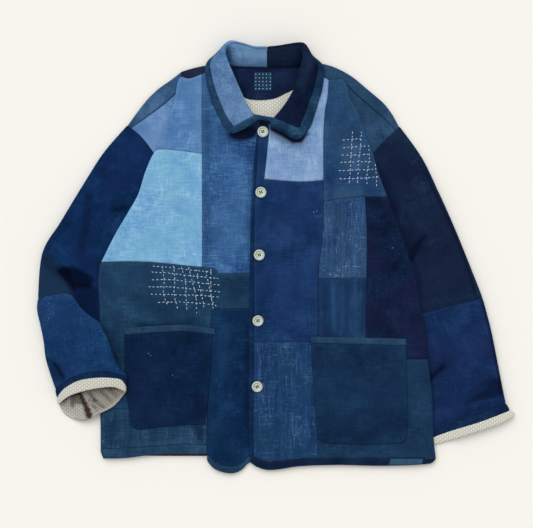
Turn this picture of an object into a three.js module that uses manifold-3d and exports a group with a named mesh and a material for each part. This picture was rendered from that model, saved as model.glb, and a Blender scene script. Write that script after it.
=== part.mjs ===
// A patched cotton work jacket, buttoned and laid flat with its front up.
// Millimetres, +Z up. The origin is the middle of its plan, on the surface that it lies on.
// Right and left are the wearer's: the right sleeve lies on the -X side, and the collar is at +Y.

import * as THREE from "three";
import { mergeVertices } from "three/addons/utils/BufferGeometryUtils.js";
import Module from "manifold-3d";

// Driving dimensions
const wall = 2.6; // outer cloth and lining, quilted together
const seam = 0.3; // clear gap wherever two pieces meet
const slack = 0.1; // added to a gap between curved faces
const hollow = 3.2; // room left between the back and the front of the body
const flapHollow = 0.2; // the same where the right front lies under the left
const collarWall = 2.6;
const pocketWall = 2;
const liningWall = 1.2;
const labelWall = 0.8;
const bindingExtra = 0.5; // a binding is this much thicker than the cloth beside it
const shoulderRound = 30; // width over which the yoke rounds down to the shoulder's edge
const armholeHeight = 6; // a sleeve's thickness where it goes under the body
const sleeveHeight = 15;
const forearmHeight = 17;
const cuffHeight = 22; // the right cuff's mouth stands open
const buttonRadius = 10.5;
const buttonHeight = 3;
const buttonHole = 1.1;
const panelStep = 34; // spacing of the points of a panel

// Levels that follow from them
const backTop = wall;
const frontBase = backTop + seam;
const flapTop = frontBase + flapHollow + wall;
const rightBase = frontBase + flapHollow + hollow;
const leftBase = flapTop + seam + slack;
const underPatchBase = frontBase + 5 * slack; // the armhole patches, under the edge of the body
const frontTop = rightBase + wall;
const overBody = frontTop + seam + pocketWall + seam + 4 * slack; // what the right forearm lies on

const wasm = await Module();
wasm.setup();

const jacket = new THREE.Group();

function addMesh(name, geometry, colour, roughness = 0.92) {
  const material = new THREE.MeshStandardMaterial({ color: colour, roughness, metalness: 0 });
  const mesh = new THREE.Mesh(geometry, material);
  mesh.name = name;
  jacket.add(mesh);
}

// 0 at a, 1 at b, level at both.
function ease(a, b, value) {
  return THREE.MathUtils.smoothstep((value - a) / (b - a), 0, 1);
}

// Solids and cuts

function solidOf(geometry) {
  const bare = geometry.index ? geometry.toNonIndexed() : geometry.clone();
  bare.deleteAttribute("normal");
  bare.deleteAttribute("uv");
  const merged = mergeVertices(bare, 1e-4);
  const mesh = new wasm.Mesh({
    numProp: 3,
    vertProperties: merged.attributes.position.array,
    triVerts: new Uint32Array(merged.index.array),
  });
  return new wasm.Manifold(mesh);
}

function geometryOf(solid) {
  const { vertProperties, triVerts } = solid.simplify(0.01).getMesh();
  const geometry = new THREE.BufferGeometry();
  geometry.setAttribute("position", new THREE.BufferAttribute(new Float32Array(vertProperties), 3));
  geometry.setIndex(new THREE.BufferAttribute(new Uint32Array(triVerts), 1));
  return geometry;
}

// The corners of an outline, each edge moved in by the same distance.
function insetOutline(points, distance) {
  const corners = THREE.ShapeUtils.isClockWise(points) ? [...points].reverse() : points;
  const count = corners.length;
  return corners.map((corner, i) => {
    const before = corners[(i + count - 1) % count];
    const after = corners[(i + 1) % count];
    const edgeIn = corner.clone().sub(before).normalize();
    const edgeOut = after.clone().sub(corner).normalize();
    const normalIn = new THREE.Vector2(-edgeIn.y, edgeIn.x);
    const normalOut = new THREE.Vector2(-edgeOut.y, edgeOut.x);
    const middle = normalIn.clone().add(normalOut).normalize();
    return corner.clone().addScaledVector(middle, distance / Math.max(middle.dot(normalIn), 0.4));
  });
}

const vectors = (points) => points.map(([x, y]) => new THREE.Vector2(x, y));
const pairs = (points) => points.map((point) => [point.x, point.y]);

// An upright block of the outline, from low to high, half a seam in from each edge.
function block(points, low = -5, high = 60, gap = seam / 2) {
  const shape = new THREE.Shape(insetOutline(vectors(points), gap));
  const geometry = new THREE.ExtrudeGeometry(shape, { depth: high - low, bevelEnabled: false });
  return geometry.translate(0, 0, low);
}

// A closed skin between two grids of points. When round is true, each row closes on itself.
function skin(outer, inner, round) {
  const rows = outer.length;
  const columns = outer[0].length;
  const positions = [...outer, ...inner].flat().flatMap((point) => [point.x, point.y, point.z]);
  const index = [];
  const quad = (a, b, c, d) => index.push(a, b, c, a, c, d);
  const out = (i, j) => i * columns + (j % columns);
  const into = (i, j) => rows * columns + out(i, j);
  const lastColumn = round ? columns : columns - 1;
  for (let j = 0; j < lastColumn; j++) {
    for (let i = 0; i < rows - 1; i++) {
      quad(out(i, j), out(i + 1, j), out(i + 1, j + 1), out(i, j + 1));
      quad(into(i, j), into(i, j + 1), into(i + 1, j + 1), into(i + 1, j));
    }
    quad(out(0, j), out(0, j + 1), into(0, j + 1), into(0, j));
    quad(out(rows - 1, j), into(rows - 1, j), into(rows - 1, j + 1), out(rows - 1, j + 1));
  }
  if (!round) {
    for (let i = 0; i < rows - 1; i++) {
      quad(out(i, 0), into(i, 0), into(i + 1, 0), out(i + 1, 0));
      quad(out(i, columns - 1), out(i + 1, columns - 1), into(i + 1, columns - 1), into(i, columns - 1));
    }
  }
  const geometry = new THREE.BufferGeometry();
  geometry.setAttribute("position", new THREE.Float32BufferAttribute(positions, 3));
  geometry.setIndex(index);
  return faceOut(geometry);
}

// Turns every face round if the volume comes out negative.
function faceOut(geometry) {
  const position = geometry.attributes.position;
  const index = geometry.index.array;
  const [a, b, c] = [new THREE.Vector3(), new THREE.Vector3(), new THREE.Vector3()];
  let volume = 0;
  for (let k = 0; k < index.length; k += 3) {
    a.fromBufferAttribute(position, index[k]);
    b.fromBufferAttribute(position, index[k + 1]);
    c.fromBufferAttribute(position, index[k + 2]);
    volume += a.dot(b.cross(c));
  }
  for (let k = 0; volume < 0 && k < index.length; k += 3) {
    [index[k + 1], index[k + 2]] = [index[k + 2], index[k + 1]];
  }
  return geometry;
}

// A sheet over a rectangle of the plan: base(x, y) is its underside.
function sheet([x0, x1], [y0, y1], step, base, thickness) {
  const columns = Math.ceil((x1 - x0) / step);
  const rows = Math.ceil((y1 - y0) / step);
  const under = [];
  const over = [];
  for (let i = 0; i <= columns; i++) {
    under.push([]);
    over.push([]);
    for (let j = 0; j <= rows; j++) {
      const x = x0 + ((x1 - x0) * i) / columns;
      const y = y0 + ((y1 - y0) * j) / rows;
      const z = base(x, y);
      under[i].push(new THREE.Vector3(x, y, z));
      over[i].push(new THREE.Vector3(x, y, z + thickness));
    }
  }
  return solidOf(skin(over, under, false));
}

// A panel's patches: each is the part of the panel inside its own outline.
function addPatches(panel, patches) {
  for (const [name, colour, outline] of patches) {
    addMesh(name, geometryOf(panel.intersect(solidOf(block(outline)))), colour);
  }
}

// Lines across a sleeve: a point at both edges and seven more between them, closer near the edges.

const ringSteps = 8;
const acrossRing = Array.from(
  { length: ringSteps + 1 },
  (_, k) => (1 - Math.cos((Math.PI * k) / ringSteps)) / 2,
);

// The nine points of a line across the sleeve, from its outer to its inner edge.
function lineAcross(points) {
  const curve = new THREE.SplineCurve(vectors(points));
  return acrossRing.map((v) => curve.getPoint(v));
}

// Outlines of the body, on the plan

const sideX = -317.5; // the body's right side
const columnX = -132.8; // the straight seam down the right chest
const flapX = 12; // the right front's own edge, under the left front
const hemY = -361; // the seam between the left front and its hem binding

// Each sleeve is sewn in along a line from the shoulder to a point under the edge of the body.
const rightArmhole = lineAcross([[-268, 237], [-239, 213], [-213, 178]]);
const leftArmhole = lineAcross([[222, 235], [195, 209], [167, 180]]);

// The inner edges of the sleeves, which lie 8 mm under the edge of the body.
const rightInner = [[-226, 148], [-240, 110], [-258, 76], [-281, 36], [-309, -13], [-311, -60]];
const leftInner = [[176, 150], [192, 107], [208, 63], [232, -5], [244, -45]];
const leftInnerLower = [[262, -134], [265, -183], [273, -249]];

const rightShoulder = [
  [-268, 237],
  [-236, 280],
  [-213, 303],
  [-188, 321],
  [-170, 335],
  [-146.5, 342],
  [-127, 346],
  [-104, 348],
];
const leftShoulder = [
  [222, 235],
  [210, 257],
  [195, 277],
  [165, 303],
  [137, 326],
  [110, 341],
  [85, 349],
  [62, 350],
];

// The edges that fold over the sleeves, from the shoulder to the underarm.
const rightFold = [
  [-176, 320],
  [-181, 294],
  [-188, 264],
  [-202, 227],
  [-215.5, 195],
  [-220, 186],
  [-234, 158],
  [-248, 114.5],
  [-266, 82],
  [-290, 41],
  [-317, -13],
];
const leftFold = [
  [126, 313],
  [133, 289],
  [149, 259],
  [165, 213],
  [174, 190],
  [183, 156],
  [200, 110],
  [216, 66],
  [240, -3],
];

const rightHem = [
  [sideX + 2, -351],
  [-311, -362],
  [-270, -361],
  [-220, -355],
  [-160, -354],
  [-124, -354],
  [-124, -365],
  [-113, -379],
  [-98, -386],
  [-77, -388.6],
  [-61, -382],
  [-47, -369],
  [flapX, -360],
];
const leftHem = [
  [288, -363],
  [278, -371],
  [193, -375],
  [110, -373.5],
  [41, -376],
  [0, -382],
  [-19, -382],
  [-36, -376],
  [-47, -368],
];

const rightShoulderSeam = [
  [-104, 336],
  [-124, 334],
  [-134, 330],
  [-157, 322],
  [-170, 326],
  [-176, 320],
];
const leftShoulderSeam = [
  [60, 340],
  [88, 323],
  [95, 320],
  [119, 322],
  [126, 313],
];

// Right front

function rightFrontBase(x) {
  return frontBase + flapHollow + hollow * ease(-45, -95, x);
}

const rightFrontOutline = [
  ...rightHem,
  [flapX, 244],
  [-46, 248],
  [-58, 264],
  [-71, 289],
  [-84, 318],
  ...rightShoulderSeam,
  ...rightFold.slice(1),
  [-320, -51],
  [-318, -84],
];

const skyBottom = [
  [-340, -9],
  [-270, -7],
  [-215, -9],
  [-160, -15],
  [columnX, -17],
];
const shoulderPatchBottom = [
  [-240, 186],
  [-205, 194.5],
  [-174, 192.5],
  [columnX, 186.5],
];
const lowerLeftEdge = [
  [-116, -92],
  [-118, -130],
  [-124, -272],
  [-124, -354],
];
const hemBindingTop = [
  [-340, -345],
  [-270, -343],
  [-220, -340],
  [-160, -336],
  [-124, -338],
];
const lowerBindingTop = [
  [-135, -352],
  [-122, -358],
  [-113, -367],
  [-98, -374],
  [-77, -376.5],
  [-61, -371],
  [-47, -358],
  [flapX + 8, -348],
];
const columnBottom = [
  [columnX, -17],
  [-108, -22],
  [-104, -29],
  [20, -29],
];

const rightFront = sheet([-330, 20], [-396, 352], panelStep, rightFrontBase, wall).intersect(
  solidOf(block(rightFrontOutline)),
);

addPatches(rightFront, [
  [
    "front_right_shoulder_patch",
    0x5f87b8,
    [[-250, 360], [columnX, 360], ...[...shoulderPatchBottom].reverse()],
  ],
  ["front_right_sky_patch", 0x7cb0d4, [...shoulderPatchBottom, ...[...skyBottom].reverse()]],
  [
    "front_right_column_patch",
    0x3c6499,
    [[columnX, 360], [20, 360], ...[...columnBottom].reverse()],
  ],
  [
    "front_right_teal_patch",
    0x24465f,
    [...skyBottom, ...columnBottom.slice(1), [20, -92], ...lowerLeftEdge.slice(0, 3), [-340, -272]],
  ],
  [
    "front_right_lower_panel",
    0x15365a,
    [[20, -92], ...lowerLeftEdge.slice(0, 3), [-124, -354], ...lowerBindingTop.slice(1)],
  ],
  ["front_right_hem_patch", 0x264d6b, [[-340, -272], [-124, -272], ...[...hemBindingTop].reverse()]],
  ["front_right_hem_binding", 0x2b4f6e, [...hemBindingTop, [-124, -354], [-124, -370], [-340, -370]]],
  [
    "front_right_lower_binding",
    0x1a3a5c,
    [...lowerBindingTop.slice(1), [20, -395], [-140, -395], [-124, -354]],
  ],
]);

// The right front's outer part by the armhole, tucked under the fold.
const rightUnderPatch = sheet([-264, -150], [160, 330], panelStep, () => underPatchBase, wall);
addPatches(rightUnderPatch, [
  [
    "front_right_armhole_patch",
    0x587fae,
    [[-176, 320], [-181, 296], ...pairs(rightArmhole.slice(2, 8)), [-196, 184], [-160, 300]],
  ],
]);

// Left front

function leftFrontBase(x, y) {
  return leftBase + 0.4 * ease(20, 90, x) * ease(-340, -250, y);
}

const leftFrontOutline = [
  [-28, 248],
  [-12, 240],
  [2, 244],
  [22, 268],
  [42, 303],
  ...leftShoulderSeam,
  ...leftFold.slice(1),
  [252, -42],
  [261, -92],
  [270.5, -133],
  [273, -182],
  [281, -248],
  [283.5, -323],
  ...leftHem,
  [-48.5, -300],
  [-49, -200],
  [-48, -100],
  [-47, 0],
  [-44, 100],
  [-36, 215],
];

const edgeBindingInner = [
  [-31, 222],
  [-38, 100],
  [-39.5, 0],
  [-39, -100],
  [-40, -200],
  [-41, -300],
  [-41, -358],
];
const leftBindingTop = [
  [-41, -358],
  [-20, -366],
  [0, -367],
  [41, -362],
  [76, hemY],
  [300, hemY],
];
const periwinkleRight = [
  [85.5, 139],
  [85.5, 218],
  [88, 262],
  [93, 290],
  [95, 320],
  [95, 350],
];
const chestBottom = [
  [85.5, 101],
  [119, 106],
  [145, 109],
  [161, 109.3],
];

const leftFront = sheet([-56, 296], [-390, 352], panelStep, leftFrontBase, wall).intersect(
  solidOf(block(leftFrontOutline)),
);

addPatches(leftFront, [
  ["front_left_top_corner", 0x0c1533, [[-60, 222], [-13, 222], [-13, 262], [-60, 262]]],
  ["front_left_edge_binding", 0x2d4f7c, [...edgeBindingInner, [-70, -345], [-70, 222]]],
  [
    "front_left_main_panel",
    0x1a2f63,
    [
      ...edgeBindingInner.slice(0, 4),
      [-39.5, -152],
      [76, -152],
      [76, -38],
      [79, 0],
      [84, 40],
      [85.5, 101],
      [85.5, 139],
      [43, 136.5],
      [-21, 141],
      [-13, 222],
    ],
  ],
  [
    "front_left_periwinkle_patch",
    0x7b95c4,
    [[-13, 222], [-21, 141], [43, 136.5], ...periwinkleRight, [-13, 350]],
  ],
  [
    "front_left_sashiko_patch",
    0x2c4f76,
    [...periwinkleRight, [240, 350], [240, 109.3], ...[...chestBottom].reverse()],
  ],
  [
    "front_left_kasuri_patch",
    0x2f4f7c,
    [...chestBottom, [164, 20], [163, -38], [76, -38], [79, 0], [84, 40]],
  ],
  ["front_left_plain_patch", 0x234a75, [[76, -38], [163, -38], [162, -152], [76, -152]]],
  [
    "front_left_side_panel",
    0x141b3f,
    [
      [161, 109.3],
      [240, 109.3],
      [300, -90],
      [300, -183],
      [162, -183],
      [162, -152],
      [163, -38],
      [164, 20],
    ],
  ],
  [
    "front_left_lower_panel",
    0x22406f,
    [
      [-39.5, -152],
      [76, -152],
      [76, hemY],
      ...leftBindingTop.slice(0, 4).reverse(),
      ...edgeBindingInner.slice(4, 6).reverse(),
    ],
  ],
  [
    "front_left_side_hem_patch",
    0x1b4360,
    [[76, -152], [162, -152], [162, -183], [300, -183], [300, hemY], [76, hemY]],
  ],
  [
    "front_left_hem_binding",
    0x0f2247,
    [...leftBindingTop, [300, -395], [-70, -395], [-70, -345]],
  ],
]);

const leftUnderPatch = sheet([112, 224], [178, 330], panelStep, () => underPatchBase, wall);
addPatches(leftUnderPatch, [
  [
    "front_left_armhole_patch",
    0x25475f,
    [[126, 313], [153, 287], [188, 257], ...pairs(leftArmhole.slice(2, 8)), [150, 192], [116, 296]],
  ],
]);

// A patch sewn over the left hem binding.
const repairBase = (x, y) => leftFrontBase(x, y) + wall + seam;
addPatches(sheet([198, 268], [-374, -360], panelStep, repairBase, 1), [
  ["hem_repair_patch", 0x2f5a80, [[206, -362], [264, -362], [264, -372.4], [202, -373.6]]],
]);

// Pockets, sewn on, with a bound top edge.

function addPocket(name, colour, body, bindingName, bindingColour, binding, panelTop) {
  const xs = body.map(([x]) => x);
  const ys = [...body, ...binding].map(([, y]) => y);
  const spanX = [Math.min(...xs) - 6, Math.max(...xs) + 6];
  const spanY = [Math.min(...ys) - 6, Math.max(...ys) + 6];
  const base = (x, y) => panelTop(x, y) + seam;
  const bag = sheet(spanX, spanY, panelStep, base, pocketWall);
  addPatches(bag, [[name, colour, body]]);
  const edge = sheet(spanX, spanY, panelStep, base, pocketWall + bindingExtra);
  addPatches(edge, [[bindingName, bindingColour, binding]]);
}

const rightPocketTop = [
  [-273, -139],
  [-216, -134.5],
  [-160, -133],
  [-114, -138.5],
];
addPocket(
  "pocket_right",
  0x12264a,
  [
    ...rightPocketTop,
    [-119, -216],
    [-127, -300],
    [-188, -303],
    [-251, -309],
    [-262, -302],
    [-271, -220],
  ],
  "pocket_right_binding",
  0x2c5474,
  [...rightPocketTop, [-110, -139], [-110, -128], [-160, -121.5], [-216, -122.5], [-273, -127.5]],
  (x) => rightFrontBase(x) + wall,
);
const leftPocketTop = [
  [63, -154],
  [234, -158],
];
addPocket(
  "pocket_left",
  0x153652,
  [...leftPocketTop, [236, -321], [225, -333.5], [120, -334.5], [86, -332], [75, -321]],
  "pocket_left_binding",
  0x2d5a78,
  [...leftPocketTop, [234, -146], [63, -142]],
  (x, y) => leftFrontBase(x, y) + wall,
);

// Back, flat on the surface

const backClear = 3; // room between the back's side and the sleeve's inner edge
const backOutline = [
  ...[...rightShoulder].reverse(),
  ...pairs(rightArmhole.slice(1)),
  ...rightInner.map(([x, y]) => [x + backClear, y]),
  [-308, -125],
  [sideX + 1, -135],
  [sideX + 1, -352],
  [-300, -357],
  [flapX, -358],
  [270, -360],
  [283, -354],
  [282, -344],
  [273, -334],
  ...[...leftInner, [253, -95], ...leftInnerLower].reverse().map(([x, y]) => [x - backClear, y]),
  ...pairs(leftArmhole).reverse(),
  ...leftShoulder.slice(1),
];
const backBindingTop = -344;
const backPanel = solidOf(block(backOutline, 0, wall));
addPatches(backPanel, [
  ["back_panel", 0x1b3358, [[-340, backBindingTop], [300, backBindingTop], [300, 400], [-340, 400]]],
  [
    "back_hem_binding",
    0x3a1f2c,
    [[-340, backBindingTop], [300, backBindingTop], [300, -400], [-340, -400]],
  ],
]);

// Yoke: the back's top strips, which come over the shoulders to the front

function shoulderBase(edge) {
  const curve = new THREE.Shape(vectors(edge)).getSpacedPoints(60);
  return (x, y) => {
    const nearest = Math.min(...curve.map((point) => Math.hypot(point.x - x, point.y - y)));
    return frontBase + (rightBase - frontBase) * ease(0, shoulderRound, nearest);
  };
}
const yokeStep = 12;
const rightYoke = sheet([-276, -98], [226, 356], yokeStep, shoulderBase(rightShoulder), wall);
addPatches(rightYoke, [
  [
    "yoke_right_outer",
    0x2a5078,
    [
      ...rightShoulder.slice(0, 4),
      [-172, 333.5],
      [-170, 326],
      [-176, 320],
      [-181, 296],
      ...pairs(rightArmhole.slice(1, 3)).reverse(),
    ],
  ],
  [
    "yoke_right_inner",
    0x1a2a44,
    [[-172, 333.5], ...rightShoulder.slice(4), ...rightShoulderSeam.slice(0, 5)],
  ],
]);
const leftYoke = sheet([56, 230], [222, 356], yokeStep, shoulderBase(leftShoulder), wall);
addPatches(leftYoke, [
  [
    "yoke_left",
    0x1f4560,
    [
      ...leftShoulder,
      ...leftShoulderSeam,
      [153, 287],
      [188, 257],
      ...pairs(leftArmhole.slice(1, 3)).reverse(),
    ],
  ],
]);

// Inside the neck: the lining, the facing on it and a plain woven label

function addFlat(name, colour, outline, low, thickness) {
  addMesh(name, block(outline, low, low + thickness), colour);
}
const liningBase = backTop + seam;
const facingBase = liningBase + liningWall + seam;
addFlat(
  "back_lining",
  0xe4ddd0,
  [
    [-95, 343],
    [-95, 330],
    [-82, 318],
    [-69, 289],
    [-56, 265],
    [-44, 250],
    [flapX, 246],
    [56, 246],
    [56, 343],
  ],
  liningBase,
  liningWall,
);
addFlat(
  "neck_facing",
  0x0f1c42,
  [
    [-92, 343],
    [-92, 332],
    [-82, 319],
    [-76, 304],
    [-56, 288],
    [-44, 284.5],
    [-24, 283.5],
    [-1, 287],
    [18, 296],
    [52, 313],
    [52, 343],
  ],
  facingBase,
  liningWall,
);
const labelBase = facingBase + liningWall + seam;
addFlat("neck_label", 0x12304a, [[-40, 300], [-7, 300], [-7, 334], [-40, 334]], labelBase, labelWall);

// Collar: a stand round the neck and a leaf that folds over it, each in two cloths that meet at the
// middle of the back

// A strip through rows of points, with its wall on the side away from its face.
function strip(rows, thickness, side) {
  const last = rows.length - 1;
  const lastAcross = rows[0].length - 1;
  const back = rows.map((row, i) =>
    row.map((point, j) => {
      const along = rows[Math.min(i + 1, last)][j].clone().sub(rows[Math.max(i - 1, 0)][j]);
      const across = row[Math.min(j + 1, lastAcross)].clone().sub(row[Math.max(j - 1, 0)]);
      return point.clone().addScaledVector(along.cross(across).normalize(), side * thickness);
    }),
  );
  return skin(rows, back, false);
}

const point3 = ([x, y, z]) => new THREE.Vector3(x, y, z);

// A station of the leaf: from its inner edge, over a crown, to the edge that is bound.
function leafRow([inner, outer, reach]) {
  const start = point3(inner);
  const end = point3(outer);
  const crown = start.clone().lerp(end, reach).setZ(start.z + 3.2);
  const curve = new THREE.QuadraticBezierCurve3(start, crown, end);
  return curve.getPoints(5);
}

function straightRow([from, to]) {
  const start = point3(from);
  return [start, start.clone().lerp(point3(to), 0.5), point3(to)];
}

const collarCentreX = -16;
const collarGap = 0.4; // from the middle seam to the end of either half
const leafEdge = 12.3; // level of the leaf's edge where it lies on the fronts
const rightLeaf = [
  [[-38, 255, 18], [-76, 235, leafEdge], 0.5],
  [[-50, 272, 21], [-90, 254, leafEdge], 0.5],
  [[-62, 297, 24], [-103, 283, leafEdge], 0.5],
  [[-76, 329, 27], [-114, 314, leafEdge], 0.5],
  [[-86, 352, 29.5], [-119, 349, leafEdge], 0.6],
  [[-90, 371, 31], [-105, 369, 9.5], 1],
  [[-80, 382.2, 31.5], [-84, 388.2, 8], 1.1],
  [[-60, 379, 31.5], [-60, 385, 8], 1.1],
  [[-38, 373, 31.5], [-38, 379, 8], 1.1],
  [[collarCentreX - collarGap, 372, 31.5], [collarCentreX - collarGap, 378, 8], 1.1],
];
const leftLeaf = [
  [[-5, 250, 18], [40, 232, leafEdge], 0.5],
  [[12, 270, 21], [52, 254, leafEdge], 0.5],
  [[24, 288, 24], [61, 281, leafEdge], 0.5],
  [[35, 310, 27], [69, 305, leafEdge], 0.5],
  [[44, 345, 29.5], [77, 345, leafEdge], 0.6],
  [[48, 367, 31], [63, 366, 9.5], 1],
  [[42, 378, 31.5], [50, 384.5, 8], 1.1],
  [[22, 377, 31.5], [22, 383, 8], 1.1],
  [[2, 374, 31.5], [2, 380, 8], 1.1],
  [[collarCentreX + collarGap, 372, 31.5], [collarCentreX + collarGap, 378, 8], 1.1],
];
addMesh("collar_right", strip(rightLeaf.map(leafRow), collarWall, -1), 0x6f93c3);
addMesh("collar_left", strip(leftLeaf.map(leafRow), collarWall, 1), 0x0e1530);

// The stand: its foot is sewn to the neck, and its top is just under the leaf's inner edge.
const footOnFront = frontTop + 2 * seam;
const rightStand = [
  [[-48, 254, footOnFront], [-44, 258, 13]],
  [[-59, 267, footOnFront], [-54, 273, 15.6]],
  [[-73, 292, footOnFront], [-66, 298, 18.6]],
  [[-86, 322, footOnFront], [-79.5, 330, 21.6]],
  [[-95, 344, footOnFront], [-89.5, 352, 24]],
  [[-90, 350, 5.4], [-91, 368, 26]],
  [[-76, 348.5, 5.4], [-80, 379, 27.6]],
  [[-46, 346.5, 5.4], [-50, 374.6, 27.6]],
  [[collarCentreX - collarGap, 345, 5.4], [collarCentreX - collarGap, 370.6, 27.6]],
];
const leftStand = [
  [[5, 250, footOnFront], [2, 255, 13]],
  [[18, 263, footOnFront], [14.5, 269.5, 15.6]],
  [[32, 282, footOnFront], [27, 287, 18.6]],
  [[44, 305, footOnFront], [38.5, 310, 21.6]],
  [[53, 338, footOnFront], [47.5, 345, 24]],
  [[50, 348, 5.4], [50, 365, 26]],
  [[38, 347, 5.4], [40, 376, 27.6]],
  [[14, 346, 5.4], [14, 374.6, 27.6]],
  [[collarCentreX + collarGap, 345, 5.4], [collarCentreX + collarGap, 370.6, 27.6]],
];
addMesh("collar_stand_right", strip(rightStand.map(straightRow), collarWall, -1), 0x6a95c2);
addMesh("collar_stand_left", strip(leftStand.map(straightRow), collarWall, 1), 0x141c3c);

// The binding round the leaf's end and outer edge, a seam away from it. The two halves meet over the
// top button, where the left one's runs on across the neck.
const bindingLevel = leafEdge + 0.3;
const rightCollarBinding = [
  [[-37.6, 254, 17.6], [-31.6, 246.8, 15]],
  [[-57, 244.4, 17.6], [-50, 234, 14.4]],
  [[-76.2, 234.5, bindingLevel], [-77, 223, bindingLevel]],
  [[-84, 244.6, bindingLevel], [-94, 236, bindingLevel]],
  [[-90.6, 253.8, bindingLevel], [-102, 251, bindingLevel]],
  [[-103.6, 282.8, bindingLevel], [-115, 280, bindingLevel]],
  [[-114.6, 313.8, bindingLevel], [-124, 311, bindingLevel]],
  [[-119.6, 349, bindingLevel], [-127, 346, bindingLevel]],
  [[-105.6, 370, 8.8], [-109, 367, 3.4]],
  [[-84, 388.4, 7.4], [-84, 388.4, 0.4]],
  [[-60, 385.2, 7.4], [-60, 385, 0.4]],
  [[-38, 379.2, 7.4], [-38, 379, 0.4]],
  [[collarCentreX - collarGap, 378.2, 7.4], [collarCentreX - collarGap, 378, 0.4]],
];
const leftCollarBinding = [
  [[-31, 252.4, 17.2], [-31, 247.6, 16]],
  [[-12, 251.4, 17.6], [-11.6, 245.6, 15.6]],
  [[-5.4, 249.3, 17.6], [-9, 233, 14.2]],
  [[17.4, 240.4, 17.6], [10, 224, 14]],
  [[40.2, 231.5, bindingLevel], [38, 211, bindingLevel]],
  [[46.6, 243, bindingLevel], [60, 232, bindingLevel]],
  [[52.6, 253.8, bindingLevel], [68, 251, bindingLevel]],
  [[61.6, 280.9, bindingLevel], [77, 281, bindingLevel]],
  [[69.6, 304.9, bindingLevel], [84, 306, bindingLevel]],
  [[77.6, 345, bindingLevel], [86, 343, bindingLevel]],
  [[63.8, 367, 8.8], [67, 364, 3.4]],
  [[50.2, 385.2, 7.4], [51, 385.2, 0.4]],
  [[22, 383.2, 7.4], [22, 383, 0.4]],
  [[2, 380.2, 7.4], [2, 380, 0.4]],
  [[collarCentreX + collarGap, 378.2, 7.4], [collarCentreX + collarGap, 378, 0.4]],
];
addMesh("collar_binding_right", strip(rightCollarBinding.map(straightRow), collarWall, -1), 0x173a55);
addMesh("collar_binding_left", strip(leftCollarBinding.map(straightRow), collarWall, 1), 0x173a55);

// Sleeves: flattened tubes

// A point of the surface that four edges span: start and end cross the sleeve, outer and inner run
// down it.
function spanned(start, end, outer, inner, u, k) {
  const v = acrossRing[k];
  const corners = new THREE.Vector2()
    .addScaledVector(start[0], (1 - u) * (1 - v))
    .addScaledVector(start[ringSteps], (1 - u) * v)
    .addScaledVector(end[0], u * (1 - v))
    .addScaledVector(end[ringSteps], u * v);
  return new THREE.Vector2()
    .addScaledVector(start[k], 1 - u)
    .addScaledVector(end[k], u)
    .addScaledVector(outer.getPoint(u), 1 - v)
    .addScaledVector(inner.getPoint(u), v)
    .sub(corners);
}

// start, end: lines across the upper side; startUnder, endUnder: the same for the underside.
// pinch is 1 where the edge of the body presses the inner edge down to the armhole's thickness.
function tube({
  start,
  end,
  startUnder = start,
  endUnder = end,
  outer,
  inner,
  rings,
  height,
  base,
  pinch = 0,
}) {
  const outerCurve = new THREE.SplineCurve([start[0], ...vectors(outer), end[0]]);
  const innerCurve = new THREE.SplineCurve([start[ringSteps], ...vectors(inner), end[ringSteps]]);
  const clear = (3 * seam) / outerCurve.getLength();
  const ring = (u, inset) => {
    const clipped = THREE.MathUtils.clamp(u, clear, 1 - clear);
    const inward = innerCurve.getPoint(clipped).sub(outerCurve.getPoint(clipped)).normalize();
    const points = [];
    for (let k = 0; k < 2 * ringSteps; k++) {
      const top = k <= ringSteps;
      const across = top ? k : 2 * ringSteps - k;
      const place = top
        ? spanned(start, end, outerCurve, innerCurve, clipped, across)
        : spanned(startUnder, endUnder, outerCurve, innerCurve, clipped, across);
      place.addScaledVector(inward, inset * (1 - 2 * acrossRing[across]));
      const bulge = Math.sin((Math.PI * across) / ringSteps);
      const pressed = pinch * ease(0.55, 0.83, acrossRing[across]);
      const tall = THREE.MathUtils.lerp(height(clipped), armholeHeight, pressed);
      const side = tall / 2;
      const z = top
        ? side + (tall - side - inset) * bulge ** 0.6
        : inset + (side - inset) * Math.max(0, 1 - bulge / 0.7) ** 2;
      points.push(new THREE.Vector3(place.x, place.y, base(place.x, place.y) + z));
    }
    return points;
  };
  const stations = Array.from({ length: rings + 1 }, (_, i) => i / rings);
  return skin(
    stations.map((u) => ring(u, 0)),
    stations.map((u) => ring(u, wall)),
    true,
  );
}

const onSurface = () => 0;

// Right sleeve: the upper part lies on the surface, and the forearm comes in over the body.
const rightElbow = lineAcross([[-428.5, -78], [-372, -66], [-318, -119]]);
const rightWrist = lineAcross([[-397, -236], [-374, -220], [-345, -208], [-308, -203], [-267, -211]]);
const rightWristUnder = lineAcross([
  [-397, -236],
  [-365, -246],
  [-335, -246],
  [-300, -235],
  [-267, -211],
]);
const rightCuff = lineAcross([
  [-394, -252],
  [-380, -235],
  [-352, -220],
  [-316, -214.5],
  [-285, -217.5],
  [-268, -229],
]);
const rightCuffUnder = lineAcross([[-394, -252], [-368, -262], [-336, -260], [-300, -248], [-268, -229]]);
const rightLip = lineAcross([
  [-392, -264],
  [-374, -250],
  [-348, -240],
  [-316, -233],
  [-288, -231.5],
  [-268, -240],
]);
const rightLipUnder = lineAcross([
  [-392, -264],
  [-384, -280],
  [-367, -291],
  [-342, -293.5],
  [-318, -281],
  [-290, -266],
  [-268, -240],
]);
const forearmBase = (x) => overBody * ease(-380, -321, x);

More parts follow.
